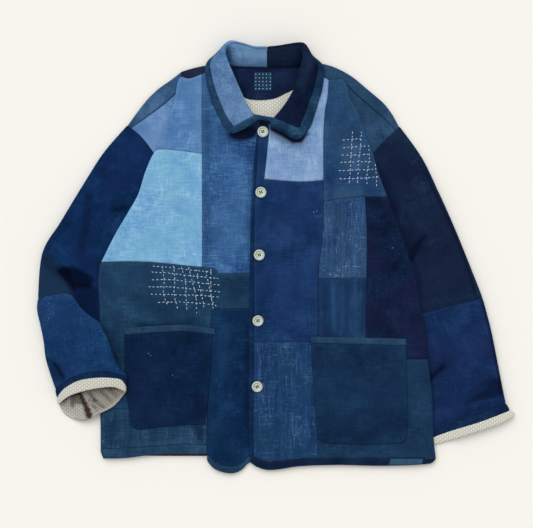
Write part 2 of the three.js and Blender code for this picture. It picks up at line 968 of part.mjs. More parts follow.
addMesh(
  "sleeve_right_upper",
  tube({
    start: rightArmhole,
    end: rightElbow,
    outer: [[-312, 186], [-341, 133], [-393, 54], [-425, 2]],
    inner: rightInner,
    pinch: 1,
    rings: 8,
    height: (u) => armholeHeight + (sleeveHeight - armholeHeight) * ease(0, 0.5, u),
    base: onSurface,
  }),
  0x0f2350,
);
addMesh(
  "sleeve_right_lower",
  tube({
    start: rightElbow,
    end: rightWrist,
    endUnder: rightWristUnder,
    outer: [[-427, -110], [-414, -185]],
    inner: [[-304, -141], [-283, -192]],
    rings: 6,
    height: (u) => sleeveHeight + (forearmHeight - sleeveHeight) * u,
    base: forearmBase,
  }),
  0x1d3a70,
);
addMesh(
  "cuff_right_binding",
  tube({
    start: rightWrist,
    end: rightCuff,
    startUnder: rightWristUnder,
    endUnder: rightCuffUnder,
    outer: [[-396, -244]],
    inner: [[-267, -219]],
    rings: 2,
    height: (u) => forearmHeight + (cuffHeight - forearmHeight) * 0.5 * u,
    base: forearmBase,
  }),
  0x12244c,
);
addMesh(
  "cuff_right_lining",
  tube({
    start: rightCuff,
    end: rightLip,
    startUnder: rightCuffUnder,
    endUnder: rightLipUnder,
    outer: [[-393.5, -258]],
    inner: [[-268, -234]],
    rings: 3,
    height: (u) => forearmHeight + (cuffHeight - forearmHeight) * (0.5 + 0.5 * u),
    base: forearmBase,
  }),
  0xe4ddd0,
);

// Left sleeve: straight down beside the body.
const leftElbow = lineAcross([[372, -73], [312, -88], [253, -104]]);
const leftWrist = lineAcross([[413.5, -262], [370, -278], [324, -295], [276, -313]]);
const leftCuff = lineAcross([[421, -275], [371, -294], [324, -309], [276, -327]]);
const leftLip = lineAcross([[428.4, -282], [384, -306], [334, -324], [278, -337]]);
const leftLipUnder = lineAcross([[428.4, -282], [388, -307.5], [338, -325], [278, -337]]);

addMesh(
  "sleeve_left_upper",
  tube({
    start: leftArmhole,
    end: leftElbow,
    outer: [[261, 179.5], [291, 120], [318, 66], [342, 12]],
    inner: leftInner,
    pinch: 1,
    rings: 8,
    height: (u) => armholeHeight + (sleeveHeight - armholeHeight) * ease(0, 0.5, u),
    base: onSurface,
  }),
  0x131c3a,
);
addMesh(
  "sleeve_left_lower",
  tube({
    start: leftElbow,
    end: leftWrist,
    outer: [[388, -128], [399, -182], [408, -231]],
    inner: leftInnerLower,
    pinch: 1,
    rings: 6,
    height: () => sleeveHeight,
    base: onSurface,
  }),
  0x1a2f66,
);
addMesh(
  "cuff_left_binding",
  tube({
    start: leftWrist,
    end: leftCuff,
    outer: [[418, -269]],
    inner: [[276, -320]],
    pinch: 1,
    rings: 2,
    height: () => sleeveHeight,
    base: onSurface,
  }),
  0x12244c,
);
addMesh(
  "cuff_left_lining",
  tube({
    start: leftCuff,
    end: leftLip,
    endUnder: leftLipUnder,
    outer: [[425, -278]],
    inner: [[276.5, -330]],
    pinch: 1,
    rings: 2,
    height: () => sleeveHeight,
    base: onSurface,
  }),
  0xe4ddd0,
);

// Buttons: a dished disc with a raised rim and four holes.

function buttonGeometry() {
  const rim = buttonRadius - 2.2;
  const profile = vectors([
    [0, 0],
    [rim, 0],
    [buttonRadius, 1],
    [buttonRadius, 2],
    [buttonRadius - 1, buttonHeight],
    [rim, buttonHeight - 0.2],
    [rim - 1.4, buttonHeight - 1],
    [0, buttonHeight - 1],
  ]);
  const disc = new THREE.LatheGeometry(profile, 20).rotateX(Math.PI / 2);
  let body = solidOf(faceOut(mergeVertices(stripped(disc), 1e-4)));
  for (const [x, y] of [[1, 1], [1, -1], [-1, 1], [-1, -1]]) {
    const drill = new THREE.CylinderGeometry(buttonHole, buttonHole, 12, 8).rotateX(Math.PI / 2);
    body = body.subtract(solidOf(drill.translate(2.1 * x, 2.1 * y, 0)));
  }
  return geometryOf(body);
}

// The same geometry with its positions only.
function stripped(geometry) {
  const bare = geometry.clone();
  bare.deleteAttribute("normal");
  bare.deleteAttribute("uv");
  return bare;
}

const buttonPlaces = [
  [-23.6, 226.4],
  [-27.2, 117.4],
  [-30.1, 4.7],
  [-32.4, -113.8],
  [-33.8, -232.4],
];
const buttonLevel = leftBase + wall + seam;
buttonPlaces.forEach(([x, y], i) => {
  addMesh(`button_${i + 1}`, buttonGeometry().translate(x, y, buttonLevel), 0xe6e0c8, 0.4);
});

export default jacket;
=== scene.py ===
# A patched cotton work jacket, buttoned and laid flat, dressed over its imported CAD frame.
import math
import bpy
import numpy as np
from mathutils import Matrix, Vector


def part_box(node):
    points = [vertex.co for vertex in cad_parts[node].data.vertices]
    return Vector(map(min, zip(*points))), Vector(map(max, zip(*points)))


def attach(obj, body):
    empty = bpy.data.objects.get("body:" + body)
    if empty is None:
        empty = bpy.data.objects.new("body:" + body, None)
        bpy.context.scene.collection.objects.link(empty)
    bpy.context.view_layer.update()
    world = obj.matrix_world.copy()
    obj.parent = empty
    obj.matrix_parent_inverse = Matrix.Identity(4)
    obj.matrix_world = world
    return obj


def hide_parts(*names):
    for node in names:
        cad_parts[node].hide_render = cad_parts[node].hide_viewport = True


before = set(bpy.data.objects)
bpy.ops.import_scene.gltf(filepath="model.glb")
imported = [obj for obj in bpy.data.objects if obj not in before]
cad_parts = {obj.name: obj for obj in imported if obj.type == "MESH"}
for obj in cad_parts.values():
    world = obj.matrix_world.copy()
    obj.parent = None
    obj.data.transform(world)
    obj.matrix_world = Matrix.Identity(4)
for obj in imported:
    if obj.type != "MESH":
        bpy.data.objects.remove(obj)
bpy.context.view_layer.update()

print("frame loaded")

# Lengths here are millimetres. They become metres where a mesh is made.


def lowest(node):
    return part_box(node)[0][2] * 1000


def highest(node):
    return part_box(node)[1][2] * 1000


cut = {
    "wall": 2.6,  # outer cloth and lining, quilted together
    "seam": 0.3,  # gap between pieces that touch
    "grid": 2.3,  # spacing of a piece's points
    "backGrid": 4.2,
    "roundOff": 2.4,  # width over which an edge rounds down
    "edgeShare": 0.4,  # of the thickness, left at the very edge
    "allowance": 0.25,  # height of the ridge that a turned-in seam allowance makes
    "allowanceRise": (0, 2.5),  # where the ridge rises, from the seam inwards
    "allowanceFall": (11, 8),
    "pucker": 0.35,  # height of the small hills along a seam
    "puckerReach": 7,
    "wearAndLight": 0.35,  # dye rubbed off along a seam, 0 to 1
    "rests": ["back_panel"],
}


# Curves and distances


def ease(a, b, value):
    # 0 at a, 1 at b, level at both ends
    t = np.clip((value - a) / (b - a), 0, 1)
    return t * t * (3 - 2 * t)


def through(points, t):
    # Catmull-Rom curve through the points, t from 0 to 1: each stretch is a cubic whose slope at a
    # point is half the step between that point's neighbours.
    points = np.array(points, float)
    last = len(points) - 1
    place = np.clip(t, 0, 1) * last
    i = np.minimum(np.floor(place).astype(int), last - 1)
    w = (place - i)[..., None]
    p0, p1 = points[np.maximum(i - 1, 0)], points[i]
    p2, p3 = points[i + 1], points[np.minimum(i + 2, last)]
    slope1, slope2 = (p2 - p0) / 2, (p3 - p1) / 2
    cubic = (2 * p1 - 2 * p2 + slope1 + slope2) * w**3
    square = (-3 * p1 + 3 * p2 - 2 * slope1 - slope2) * w**2
    return cubic + square + slope1 * w + p1


def nearestOn(line, x, y):
    # The nearest point of a line to each place: distance, how far along the line (0 to 1), which
    # side (positive on its left), and the point itself.
    line = np.array(line, float)
    start, step = line[:-1], np.diff(line, axis=0)
    square = np.maximum((step**2).sum(1), 1e-9)
    run = np.concatenate([[0], np.cumsum(np.sqrt(square))])
    found, atOnce = [], 3000  # places worked on together, so that the arrays stay small
    flat = np.stack([np.ravel(x), np.ravel(y)], axis=1)
    for places in np.array_split(flat, max(1, len(flat) // atOnce)):
        away = places[:, None, :] - start
        t = np.clip((away * step).sum(2) / square, 0, 1)
        off = away - t[..., None] * step
        best = np.argmin((off**2).sum(2), axis=1)
        row = np.arange(len(places))
        tBest, offBest = t[row, best], off[row, best]
        distance = np.hypot(offBest[:, 0], offBest[:, 1])
        along = (run[best] + tBest * (run[best + 1] - run[best])) / run[-1]
        side = np.sign(step[best, 0] * offBest[:, 1] - step[best, 1] * offBest[:, 0])
        found.append(np.stack([distance, along, side, *(places - offBest).T]))
    return [part.reshape(np.shape(x)) for part in np.concatenate(found, axis=1)]


def inside(loop, x, y):
    # True where a line to the right crosses the closed loop an odd number of times.
    flatX, flatY = np.ravel(x)[:, None], np.ravel(y)[:, None]
    ax, ay = loop[:-1, 0], loop[:-1, 1]
    bx, by = loop[1:, 0], loop[1:, 1]
    rise = np.where(by == ay, 1e-9, by - ay)
    odd, parts = [], 40
    for px, py in zip(np.array_split(flatX, parts), np.array_split(flatY, parts)):
        crosses = ((ay > py) != (by > py)) & (px < (bx - ax) * (py - ay) / rise + ax)
        odd.append(crosses.sum(1) % 2 == 1)
    return np.concatenate(odd).reshape(np.shape(x))


def softNoise(x, y, size, seed):
    # Smooth random hills about one size apart, 0 to 1: a square lattice of values, eased between.
    count = 64
    lattice = np.random.default_rng(seed).random((count, count))
    u, v = x / size + 31.7, y / size + 17.3  # the jacket's middle isn't on a lattice point
    i, j = np.floor(u).astype(int), np.floor(v).astype(int)
    f, g = ease(0, 1, u - i), ease(0, 1, v - j)
    i, j, nextI, nextJ = i % count, j % count, (i + 1) % count, (j + 1) % count
    lower = lattice[i, j] * (1 - f) + lattice[nextI, j] * f
    upper = lattice[i, nextJ] * (1 - f) + lattice[nextI, nextJ] * f
    return lower * (1 - g) + upper * g


def bands(x, y, lines):
    # Sum of bell-shaped bands, each along a line and fading out at its ends: (points, width, amount).
    total, fadeLength = np.zeros(np.shape(x)), 0.22  # of the line, at each end
    for points, width, amount in lines:
        curve = through(points, np.linspace(0, 1, 4 * len(points)))
        distance, along, *_ = nearestOn(curve, x, y)
        fade = ease(0, fadeLength, along) * ease(1, 1 - fadeLength, along)
        total += amount * np.exp(-((distance / width) ** 2)) * fade
    return total


def wedges(x, y, shapes):
    # Sum of filled shapes with a soft edge: (corners, softness, amount).
    total = np.zeros(np.shape(x))
    for corners, softness, amount in shapes:
        loop = np.array([*corners, corners[0]], float)
        distance, *_ = nearestOn(loop, x, y)
        depth = np.where(inside(loop, x, y), distance, -distance)
        total += amount * ease(-softness, softness, depth)
    return total


def tint(piece, key, x, y):
    # How much of a tint a piece's dictionary asks for: its bands, and its wedges.
    return bands(x, y, piece.get(key, [])) + wedges(x, y, piece.get(key + "Wedges", []))


# Outlines, read from the frame


def nodeOutline(node, sharp=50, spacing=4):
    # The plan outline of a flat node: the edges that only one of its upward faces has, walked in
    # order, then a curve through them that keeps each corner sharper than `sharp` degrees.
    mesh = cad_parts[node].data
    mesh.calc_loop_triangles()
    place = np.empty(len(mesh.vertices) * 3)
    mesh.vertices.foreach_get("co", place)
    index = np.empty(len(mesh.loop_triangles) * 3, int)
    mesh.loop_triangles.foreach_get("vertices", index)
    corners = (place.reshape(-1, 3) * 1000)[index].reshape(-1, 3, 3)
    normal = np.cross(corners[:, 1] - corners[:, 0], corners[:, 2] - corners[:, 0])
    up = normal[:, 2] > 0.5 * np.linalg.norm(normal, axis=1)
    edges = {}
    for triangle in np.round(corners[up][:, :, :2], 2):
        a, b, c = map(tuple, triangle)
        edges.update({(a, b): 1, (b, c): 1, (c, a): 1})
    after = {a: b for a, b in edges if (b, a) not in edges}
    loops = []
    while after:
        loop = [next(iter(after))]
        while loop[-1] in after:
            loop.append(after.pop(loop[-1]))
        loops.append(loop[:-1])
    points = np.array(max(loops, key=len), float)
    return smoothLoop(dropStraight(points), sharp, spacing)


def dropStraight(points, least=0.06):
    # Leaves out each point that lies within `least` of the line between its neighbours.
    while True:
        before, after = np.roll(points, 1, 0), np.roll(points, -1, 0)
        chord = after - before
        length = np.maximum(np.hypot(*chord.T), 1e-6)
        off = np.abs(np.cross(chord, points - before)) / length
        if off.min() > least:
            return points
        points = np.delete(points, off.argmin(), axis=0)


def smoothLoop(points, sharp, spacing):
    # Hermite stretches between the points: the slope at a point is along its neighbours' chord,
    # and at a corner along the stretch itself.
    onward = np.roll(points, -1, 0) - points
    length = np.hypot(*onward.T)
    ahead = onward / length[:, None]
    back = np.roll(ahead, 1, 0)
    corner = (ahead * back).sum(1) < math.cos(math.radians(sharp))
    chord = np.roll(points, -1, 0) - np.roll(points, 1, 0)
    chord /= np.hypot(*chord.T)[:, None]
    pieces = []
    for i in range(len(points)):
        j = (i + 1) % len(points)
        leave = (ahead[i] if corner[i] else chord[i]) * length[i]
        arrive = (ahead[i] if corner[j] else chord[j]) * length[i]
        t = np.linspace(0, 1, max(2, math.ceil(length[i] / spacing) + 1))[:-1, None]
        pieces.append(
            points[i] * (2 * t**3 - 3 * t**2 + 1)
            + leave * (t**3 - 2 * t**2 + t)
            + points[j] * (3 * t**2 - 2 * t**3)
            + arrive * (t**3 - t**2)
        )
    line = np.concatenate(pieces)
    return np.concatenate([line, line[:1]])


# Meshes


def makePiece(name, node, material, places, groups, wearAndLight=0, shade=0):
    # places in millimetres, groups a list of face arrays, wearAndLight and shade 0 to 1 at each place:
    # wearAndLight is rubbed dye and painted light (on a button, painted shade in its groove), shade is
    # painted shade.
    mesh = bpy.data.meshes.new(name)
    mesh.from_pydata((places * 0.001).tolist(), [], [face for group in groups for face in group.tolist()])
    for label, values in (("wearAndLight", wearAndLight), ("shade", shade)):
        layer = mesh.attributes.new(label, "FLOAT", "POINT")
        layer.data.foreach_set("value", np.clip(np.zeros(len(places)) + values, 0, 1))
    mesh.shade_smooth()
    mesh.materials.append(material)
    piece = bpy.data.objects.new(name, mesh)
    bpy.context.scene.collection.objects.link(piece)
    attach(piece, "root")
    if node:
        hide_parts(node)
    return piece


def seamWear(depth, x, y, amount, reach=2.4, least=0.3):
    # Dye rubbed off beside an edge: amount * exp(-depth / reach), in patches, `least` between them.
    return amount * np.exp(-depth / reach) * (least + (1 - least) * softNoise(x, y, 9, 8))


def flatPiece(piece, level):
    # A cloth piece lying on `level`: a square grid over its outline, whose points near the edge move
    # onto it. Its two sides are half the thickness from its middle, and draw together at the edge as a
    # quarter circle does. The upper side also has the ridge of the seam allowance, and puckers.
    look = {**cut, **piece}
    loop = nodeOutline(look["node"])
    spacing, thick, edgeShare = look["grid"], look["wall"], look["edgeShare"]
    low, high = loop.min(0) - spacing, loop.max(0) + 2 * spacing
    x, y = np.meshgrid(*(np.arange(low[i], high[i], spacing) for i in (0, 1)), indexing="ij")
    depth, _, _, footX, footY = nearestOn(loop, x, y)
    near = depth < 0.5 * spacing
    keep = inside(loop, x, y) | near
    x, y, depth = np.where(near, footX, x), np.where(near, footY, y), np.where(near, 0, depth)
    faces = gridFaces(keep, x, y)
    used = np.unique(np.concatenate([np.ravel(f) for f in faces]))
    number = np.full(x.size, -1)
    number[used] = np.arange(len(used))
    faces = [number[f] for f in faces]
    x, y, depth = (part.ravel()[used] for part in (x, y, depth))

    edge = np.clip(1 - depth / look["roundOff"], 0, 1)
    half = thick / 2 * (edgeShare + (1 - edgeShare) * np.sqrt(1 - edge**2))
    ridge = ease(*look["allowanceRise"], depth) * ease(*look["allowanceFall"], depth)
    pucker = look["pucker"] * np.exp(-depth / look["puckerReach"]) * (softNoise(x, y, 7, 5) - 0.5)
    relief = look["allowance"] * ridge + pucker
    middle = level(x, y) + thick / 2
    count = len(x)
    places = np.concatenate([np.stack([x, y, z], 1) for z in (middle + half + relief, middle - half)])
    groups = [side for f in faces for side in (f, f[:, ::-1] + count)] + [rimWalls(faces, count)]
    # rubbed dye along the seams, with the piece's faded streaks and painted highlights
    wearAndLight = seamWear(depth, x, y, look["wearAndLight"], reach=2.6, least=0.35) + tint(piece, "fadedAndLit", x, y)
    wearAndLight, shade = np.tile(wearAndLight, 2), np.tile(tint(piece, "shaded", x, y), 2)
    material = cloths[look["cloth"]]
    made = makePiece(look["node"] + "_cloth", look["node"], material, places, groups, wearAndLight, shade)
    size = np.ptp(loop, axis=0) * 0.001
    area = abs(np.cross(loop[:-1], loop[1:]).sum()) / 2 * 1e-6
    if area < 0.3 * size[0] * size[1]:  # a strip that bends round a corner was cut straight
        length = np.hypot(*np.diff(loop, axis=0).T).sum() / 2 * 0.001
        size, area = (max(area / length, 0.01), length), None


def squares(number):
    # The four corners of each square of a grid of point numbers.
    ring = [number[:-1, :-1], number[1:, :-1], number[1:, 1:], number[:-1, 1:]]
    return np.stack([part.ravel() for part in ring], axis=1)


def gridFaces(keep, x, y, leastArea=0.02):
    # Squares whose four corners are kept, and triangles where three are. Flat ones are left out.
    corners = squares(np.arange(keep.size).reshape(keep.shape))
    held = keep.ravel()[corners]
    quads, partly = corners[held.all(1)], held.sum(1) == 3
    turn = (np.argmin(held[partly], axis=1)[:, None] + np.array([1, 2, 3])) % 4
    triangles = np.take_along_axis(corners[partly], turn, axis=1)
    flatX, flatY = x.ravel(), y.ravel()

    def area(group):
        px, py = flatX[group], flatY[group]
        return 0.5 * (px * np.roll(py, -1, 1) - np.roll(px, -1, 1) * py).sum(1)

    return [group[area(group) > leastArea] for group in (quads, triangles)]


def rimWalls(faces, count):
    # A wall under each edge that only one face has.
    edges = np.concatenate([np.stack([f, np.roll(f, -1, 1)], 2).reshape(-1, 2) for f in faces])
    forward = edges[:, 0] * count + edges[:, 1]
    reverse = edges[:, 1] * count + edges[:, 0]
    a, b = edges[~np.isin(reverse, forward)].T
    return np.stack([a, a + count, b + count, b], axis=1)


def closedShell(outer, inner, wrap):
    # Places and faces of a wall between two grids (rows, columns, 3). wrap joins each row's ends.
    rows, columns, _ = outer.shape
    count = rows * columns
    number = np.arange(count).reshape(rows, columns)
    if wrap:
        number = np.concatenate([number, number[:, :1]], axis=1)
    rims = [(number[0], 1), (number[-1], -1)]
    if not wrap:
        rims += [(number[:, 0], -1), (number[:, -1], 1)]
    sheets = [squares(number), squares(number)[:, ::-1] + count]
    for line, turn in rims:
        rim = np.stack([line[:-1], line[1:], line[1:] + count, line[:-1] + count], axis=1)
        sheets.append(rim[:, ::turn])
    faces = np.concatenate(sheets)
    places = np.concatenate([outer.reshape(-1, 3), inner.reshape(-1, 3)])
    a, b, c, d = places[faces].transpose(1, 0, 2)
    volume = (np.cross(a - c, b - d) * (a + b + c + d)).sum()
    return places, faces if volume > 0 else faces[:, ::-1]


# Materials


def linear(colour):
    # An sRGB hex colour as linear red, green, blue and alpha.
    channels = [int(colour[i : i + 2], 16) / 255 for i in (1, 3, 5)]
    return [c / 12.92 if c <= 0.04045 else ((c + 0.055) / 1.055) ** 2.4 for c in channels] + [1]


def addNode(material, kind, settings, inputs):
    # A node with its settings, and its inputs linked from sockets or set to values.
    node = material.node_tree.nodes.new(kind)
    for key, value in settings.items():
        setattr(node, key, value)
    for key, value in inputs.items():
        if isinstance(value, bpy.types.NodeSocket):
            material.node_tree.links.new(value, node.inputs[key])
        else:
            node.inputs[key].default_value = value
    return node


def setRamp(node, stops):
    ramp = node.color_ramp
    while len(ramp.elements) < len(stops):
        ramp.elements.new(0.5)
    for element, (place, colour) in zip(ramp.elements, stops):
        element.position = place
        element.color = linear(colour)


def newMaterial(name):
    material = bpy.data.materials.new(name)
    material.use_nodes = True
    material.node_tree.nodes.clear()
    return material


weave = {  # a cotton has these unless its own line says otherwise
    "turn": 0,  # degrees that its yarns lie off the jacket's length
    "pitch": 2.4,  # mm from one drawn yarn to the next
    "run": 26,  # mm that a thick place in a yarn lasts
    "cloudSize": 42,  # mm across a cloud in the dye
    "clouds": 1.5,  # this and the next three: how far a pattern moves the tone
    "warp": 0.4,
    "weft": 0.5,
    "grain": 0.3,
    "flecks": [],  # pale yarns: whose pattern, where it begins and is full, and how much it covers
    "deep": "#06102a",  # colour in its shadows
}
cloths = {}


def indigoCotton(name, base, dark, light, **more):
    # Hand-woven cotton, vat-dyed and washed: thick and thin yarns cross, the dye sits in clouds and
    # drifts in hue, and the raised yarns and seam edges have rubbed pale. The rubbed-pale colour also
    # paints highlights, and the shadow colour paints shade, where a piece asks. Yarns are 0.6 mm apart
    # and are drawn 2 to 3 mm apart, because finer ones don't show from above.
    cloth = {**weave, "worn": light, **more}
    material = cloths[name] = newMaterial(name)
    place = addNode(material, "ShaderNodeTexCoord", {}, {}).outputs["Object"]
    turn = (0, 0, math.radians(cloth["turn"]))
    turned = addNode(material, "ShaderNodeMapping", {}, {"Vector": place, "Rotation": turn}).outputs[0]
    across, along = 1000 / cloth["pitch"], 1000 / cloth["run"]
    stretched = {
        "warp": (across, along, across),
        "weft": (along, across, across),
        "fineWarp": (1.7 * across, 3 * along, across),  # thinner yarns between them
        "fineWeft": (3 * along, 1.7 * across, across),
        "stripe": (1000 / 17, 1000 / 260, 1000 / 17),  # broad faded stripes down the cloth
        "shortWeft": (1000 / 7, 1000 / 2.2, 1000 / 2.2),  # resist-dyed flecks, 7 mm by 2 mm
        "speck": (1000 / 3, 1000 / 3, 1000 / 3),
    }
    tone = {"cloud": cloth["clouds"], "warp": cloth["warp"], "weft": cloth["weft"]}
    tone.update({"fineWarp": cloth["grain"], "fineWeft": cloth["grain"]})
    if "stripe" in cloth:
        tone["stripe"] = cloth["stripe"]
    patterns = {"cloud": (place, 1000 / cloth["cloudSize"], 7.0, 0.68)}
    if "tinge" in cloth:
        patterns["drift"] = (place, 1000 / 95, 3.0, 0.5)  # the hue changes over 95 mm
    for key in sorted({*tone, *(fleck[0] for fleck in cloth["flecks"])} - {"cloud"}):
        spot = addNode(material, "ShaderNodeMapping", {}, {"Vector": turned, "Scale": stretched[key]})
        patterns[key] = (spot.outputs[0], 1.0, 2.0, 0.6)
    noise = {}
    for key, (vector, scale, detail, roughness) in patterns.items():
        inputs = {"Vector": vector, "Scale": scale, "Detail": detail, "Roughness": roughness}
        noise[key] = addNode(material, "ShaderNodeTexNoise", {}, inputs).outputs[0]

    def weighted(weights):
        # 0.5 + sum of (pattern - 0.5) * weight
        total = 0.5 - 0.5 * sum(weights.values())
        for key, weight in weights.items():
            inputs = {0: noise[key], 1: weight, 2: total}
            total = addNode(material, "ShaderNodeMath", {"operation": "MULTIPLY_ADD"}, inputs).outputs[0]
        return total

    body = addNode(material, "ShaderNodeValToRGB", {}, {"Fac": weighted(tone)})
    setRamp(body, [(0.2, dark), (0.5, base), (0.8, light)])
    patches = [(noise["drift"], 0.42, 0.6, 0.5, cloth["tinge"])] if "drift" in noise else []
    for key, low, high, most in cloth["flecks"]:  # most of them where the cloth is pale
        patches.append((weighted({key: 1.0, "cloud": 0.35}), low, high, most, cloth["fleck"]))
    layers = []  # how much of which colour, laid over the body in turn
    for pattern, low, high, most, over in patches:
        inputs = {"Value": pattern, "From Min": low, "From Max": high, "To Max": most}
        layers.append((addNode(material, "ShaderNodeMapRange", {}, inputs).outputs[0], over))
    # wearAndLight lays on the rubbed-pale colour, which also paints highlights; shade lays on painted shade
    for label, over in (("wearAndLight", cloth["worn"]), ("shade", cloth["deep"])):
        amount = addNode(material, "ShaderNodeAttribute", {"attribute_name": label}, {})
        layers.append((amount.outputs["Fac"], over))
    colour = body.outputs[0]
    for amount, over in layers:
        inputs = {0: amount, 6: colour, 7: linear(over)}
        colour = addNode(material, "ShaderNodeMix", {"data_type": "RGBA"}, inputs).outputs[2]
    height = weighted({"fineWarp": 1.0, "fineWeft": 1.0, "warp": 0.6, "weft": 0.6})
    bump = addNode(material, "ShaderNodeBump", {}, {"Height": height, "Strength": 0.35, "Distance": 0.0012})
    finish = {
        "Base Color": colour,
        "Normal": bump.outputs[0],
        "Roughness": 0.92,
        "Specular IOR Level": 0.06,
        "Sheen Weight": 0.04,
        "Sheen Roughness": 0.5,
        "Sheen Tint": linear(light),
    }
    shader = addNode(material, "ShaderNodeBsdfPrincipled", {}, finish)
    addNode(material, "ShaderNodeOutputMaterial", {}, {"Surface": shader.outputs[0]})


indigoCotton("fadedChambray", "#507bb0", "#3d659b", "#739ac9", worn="#86a8d0", tinge="#547ba9")
indigoCotton(
    "washedSkyCotton", "#72a7d3", "#5b94c4", "#93c1e4",
    warp=0.5, weft=0.65, grain=0.5, clouds=1.2, cloudSize=24, tinge="#78b0cc",
    fleck="#b4d6ea", flecks=[("weft", 0.64, 0.76, 0.4), ("warp", 0.65, 0.76, 0.35)], worn="#8fbcdc",
)
indigoCotton(
    "slubColumnCotton", "#2d578b", "#1c3d6e", "#4a75a9",
    warp=0.7, weft=0.9, grain=0.6, tinge="#325984",
    fleck="#6f93bd", flecks=[("warp", 0.65, 0.76, 0.45), ("weft", 0.64, 0.75, 0.45)],
)
indigoCotton(
    "tealIndigo", "#1c3b59", "#112d46", "#29506d",
    clouds=1.3, worn="#3a5c74", deep="#08152f", tinge="#1b3758",
)
indigoCotton("deepIndigo", "#0a284d", "#061d3d", "#173c62", worn="#1f4266", tinge="#0f2e4b")
indigoCotton(
    "hemKasuri", "#1d3a58", "#142d48", "#2d4f6e", turn=2,
    warp=0.6, weft=0.7, stripe=0.5, clouds=1.0, fleck="#5f7e98",
    flecks=[("warp", 0.63, 0.77, 0.45), ("weft", 0.66, 0.78, 0.35), ("speck", 0.74, 0.8, 0.6)],
)
indigoCotton("lowerBindingIndigo", "#1e3a56", "#132c46", "#2f4e6b")
indigoCotton("shoulderIndigo", "#345478", "#1f3c5e", "#476a92", clouds=2.0, tinge="#355272")
indigoCotton("shoulderDark", "#1a2c46", "#111f34", "#2a4058", tinge="#241f2e")
indigoCotton("shoulderTeal", "#254261", "#17304e", "#345376", clouds=1.8, tinge="#23415a")
indigoCotton("darkNavy", "#0b1d37", "#071227", "#172e4b", worn="#22365a", tinge="#121b3b")
indigoCotton("edgeIndigo", "#0a2648", "#071a39", "#1a3a65")
indigoCotton("navyTwill", "#14315b", "#0c2349", "#214473", worn="#33507c", tinge="#1b315f")
indigoCotton(
    "periwinkleCotton", "#799ac4", "#5f80ae", "#95b3d6",
    warp=0.7, weft=0.4, worn="#a3bad8", tinge="#7f99cb",
)
indigoCotton("sashikoIndigo", "#1f3d69", "#132f54", "#305585", clouds=1.6, worn="#41647f", tinge="#28485f")
indigoCotton(
    "kasuriIndigo", "#26466f", "#1a355c", "#375887", turn=1, pitch=1.9, run=34,
    warp=0.7, weft=0.4, grain=0.7, stripe=0.7, clouds=1.1, tinge="#2c4868", fleck="#7d9cc0",
    flecks=[
        ("warp", 0.6, 0.76, 0.36),
        ("weft", 0.65, 0.77, 0.3),
        ("fineWarp", 0.64, 0.75, 0.5),
        ("fineWeft", 0.66, 0.77, 0.4),
        ("speck", 0.68, 0.75, 0.9),
    ],
)
indigoCotton("plainIndigo", "#183259", "#102549", "#2a4a78", warp=0.4, weft=0.2, stripe=1.5, tinge="#1a3959")
indigoCotton("aubergineNavy", "#0c1e3b", "#07122b", "#172b4e", clouds=1.9, tinge="#1a1b3d")
indigoCotton(
    "speckledIndigo", "#193760", "#10294c", "#264a78", turn=-1, pitch=2.0, run=40,
    warp=0.6, weft=0.4, grain=0.6, stripe=0.8, clouds=1.0, tinge="#183b58", fleck="#7596b8",
    flecks=[
        ("warp", 0.62, 0.78, 0.36),
        ("weft", 0.66, 0.78, 0.32),
        ("fineWarp", 0.66, 0.76, 0.42),
        ("fineWeft", 0.68, 0.78, 0.38),
        ("speck", 0.69, 0.76, 0.9),
    ],
)
indigoCotton("hemTeal", "#17314f", "#0f253e", "#244462", tinge="#1a3857")
indigoCotton("repairBlue", "#2a4a66", "#1d3a54", "#3b5d78")
indigoCotton("pocketNavy", "#082040", "#061831", "#142f51", tinge="#102344")
indigoCotton("pocketTeal", "#112948", "#0a1e3a", "#1c3b5c", weft=0.5, tinge="#132f4e")
indigoCotton("pocketBinding", "#203b56", "#152d46", "#324f6e", tinge="#284a69")
indigoCotton("backIndigo", "#1b3358", "#122547", "#27456e")
indigoCotton("maroonCotton", "#3a1f2c", "#281420", "#4d2c3a")
indigoCotton("facingNavy", "#122140", "#0b162d", "#1b2f50", clouds=1.4, tinge="#151b3a")
indigoCotton("labelIndigo", "#1b3a57", "#142e48", "#28506e", clouds=1.2)
indigoCotton(
    "collarChambray", "#5079a6", "#3b6190", "#7499c0", warp=0.5, weft=0.9, grain=0.6, clouds=1.9,
    worn="#7ea6cf", deep="#12324a", tinge="#5d7bab",
)
indigoCotton("collarNavy", "#071731", "#050d20", "#152644", clouds=1.7, worn="#26374f", tinge="#14183a")
indigoCotton(
    "collarBinding", "#193856", "#0e253e", "#2d5673",
    weft=0.8, clouds=2.0, worn="#35587a", tinge="#203a5c",
)
indigoCotton(
    "sleeveNavy", "#0a2a52", "#061d3e", "#153966", turn=30, clouds=1.4,
    worn="#193049", deep="#010820", tinge="#132656",
)
indigoCotton(
    "sleeveSpeckled", "#123762", "#0b284d", "#224875", turn=-12, clouds=1.3, grain=0.5, tinge="#1a3462",
    fleck="#6a8cba",
    flecks=[("fineWarp", 0.68, 0.78, 0.5), ("fineWeft", 0.7, 0.8, 0.5), ("shortWeft", 0.73, 0.8, 0.6)],
)
indigoCotton("sleeveDark", "#13213d", "#0c1830", "#1d314c", turn=-25, clouds=1.2, tinge="#15203d")
indigoCotton("sleeveBlue", "#112a53", "#0c1f42", "#1f3b68", turn=-15, clouds=1.3, tinge="#1b2a57")
indigoCotton("cuffBinding", "#0d2548", "#081936", "#183558")


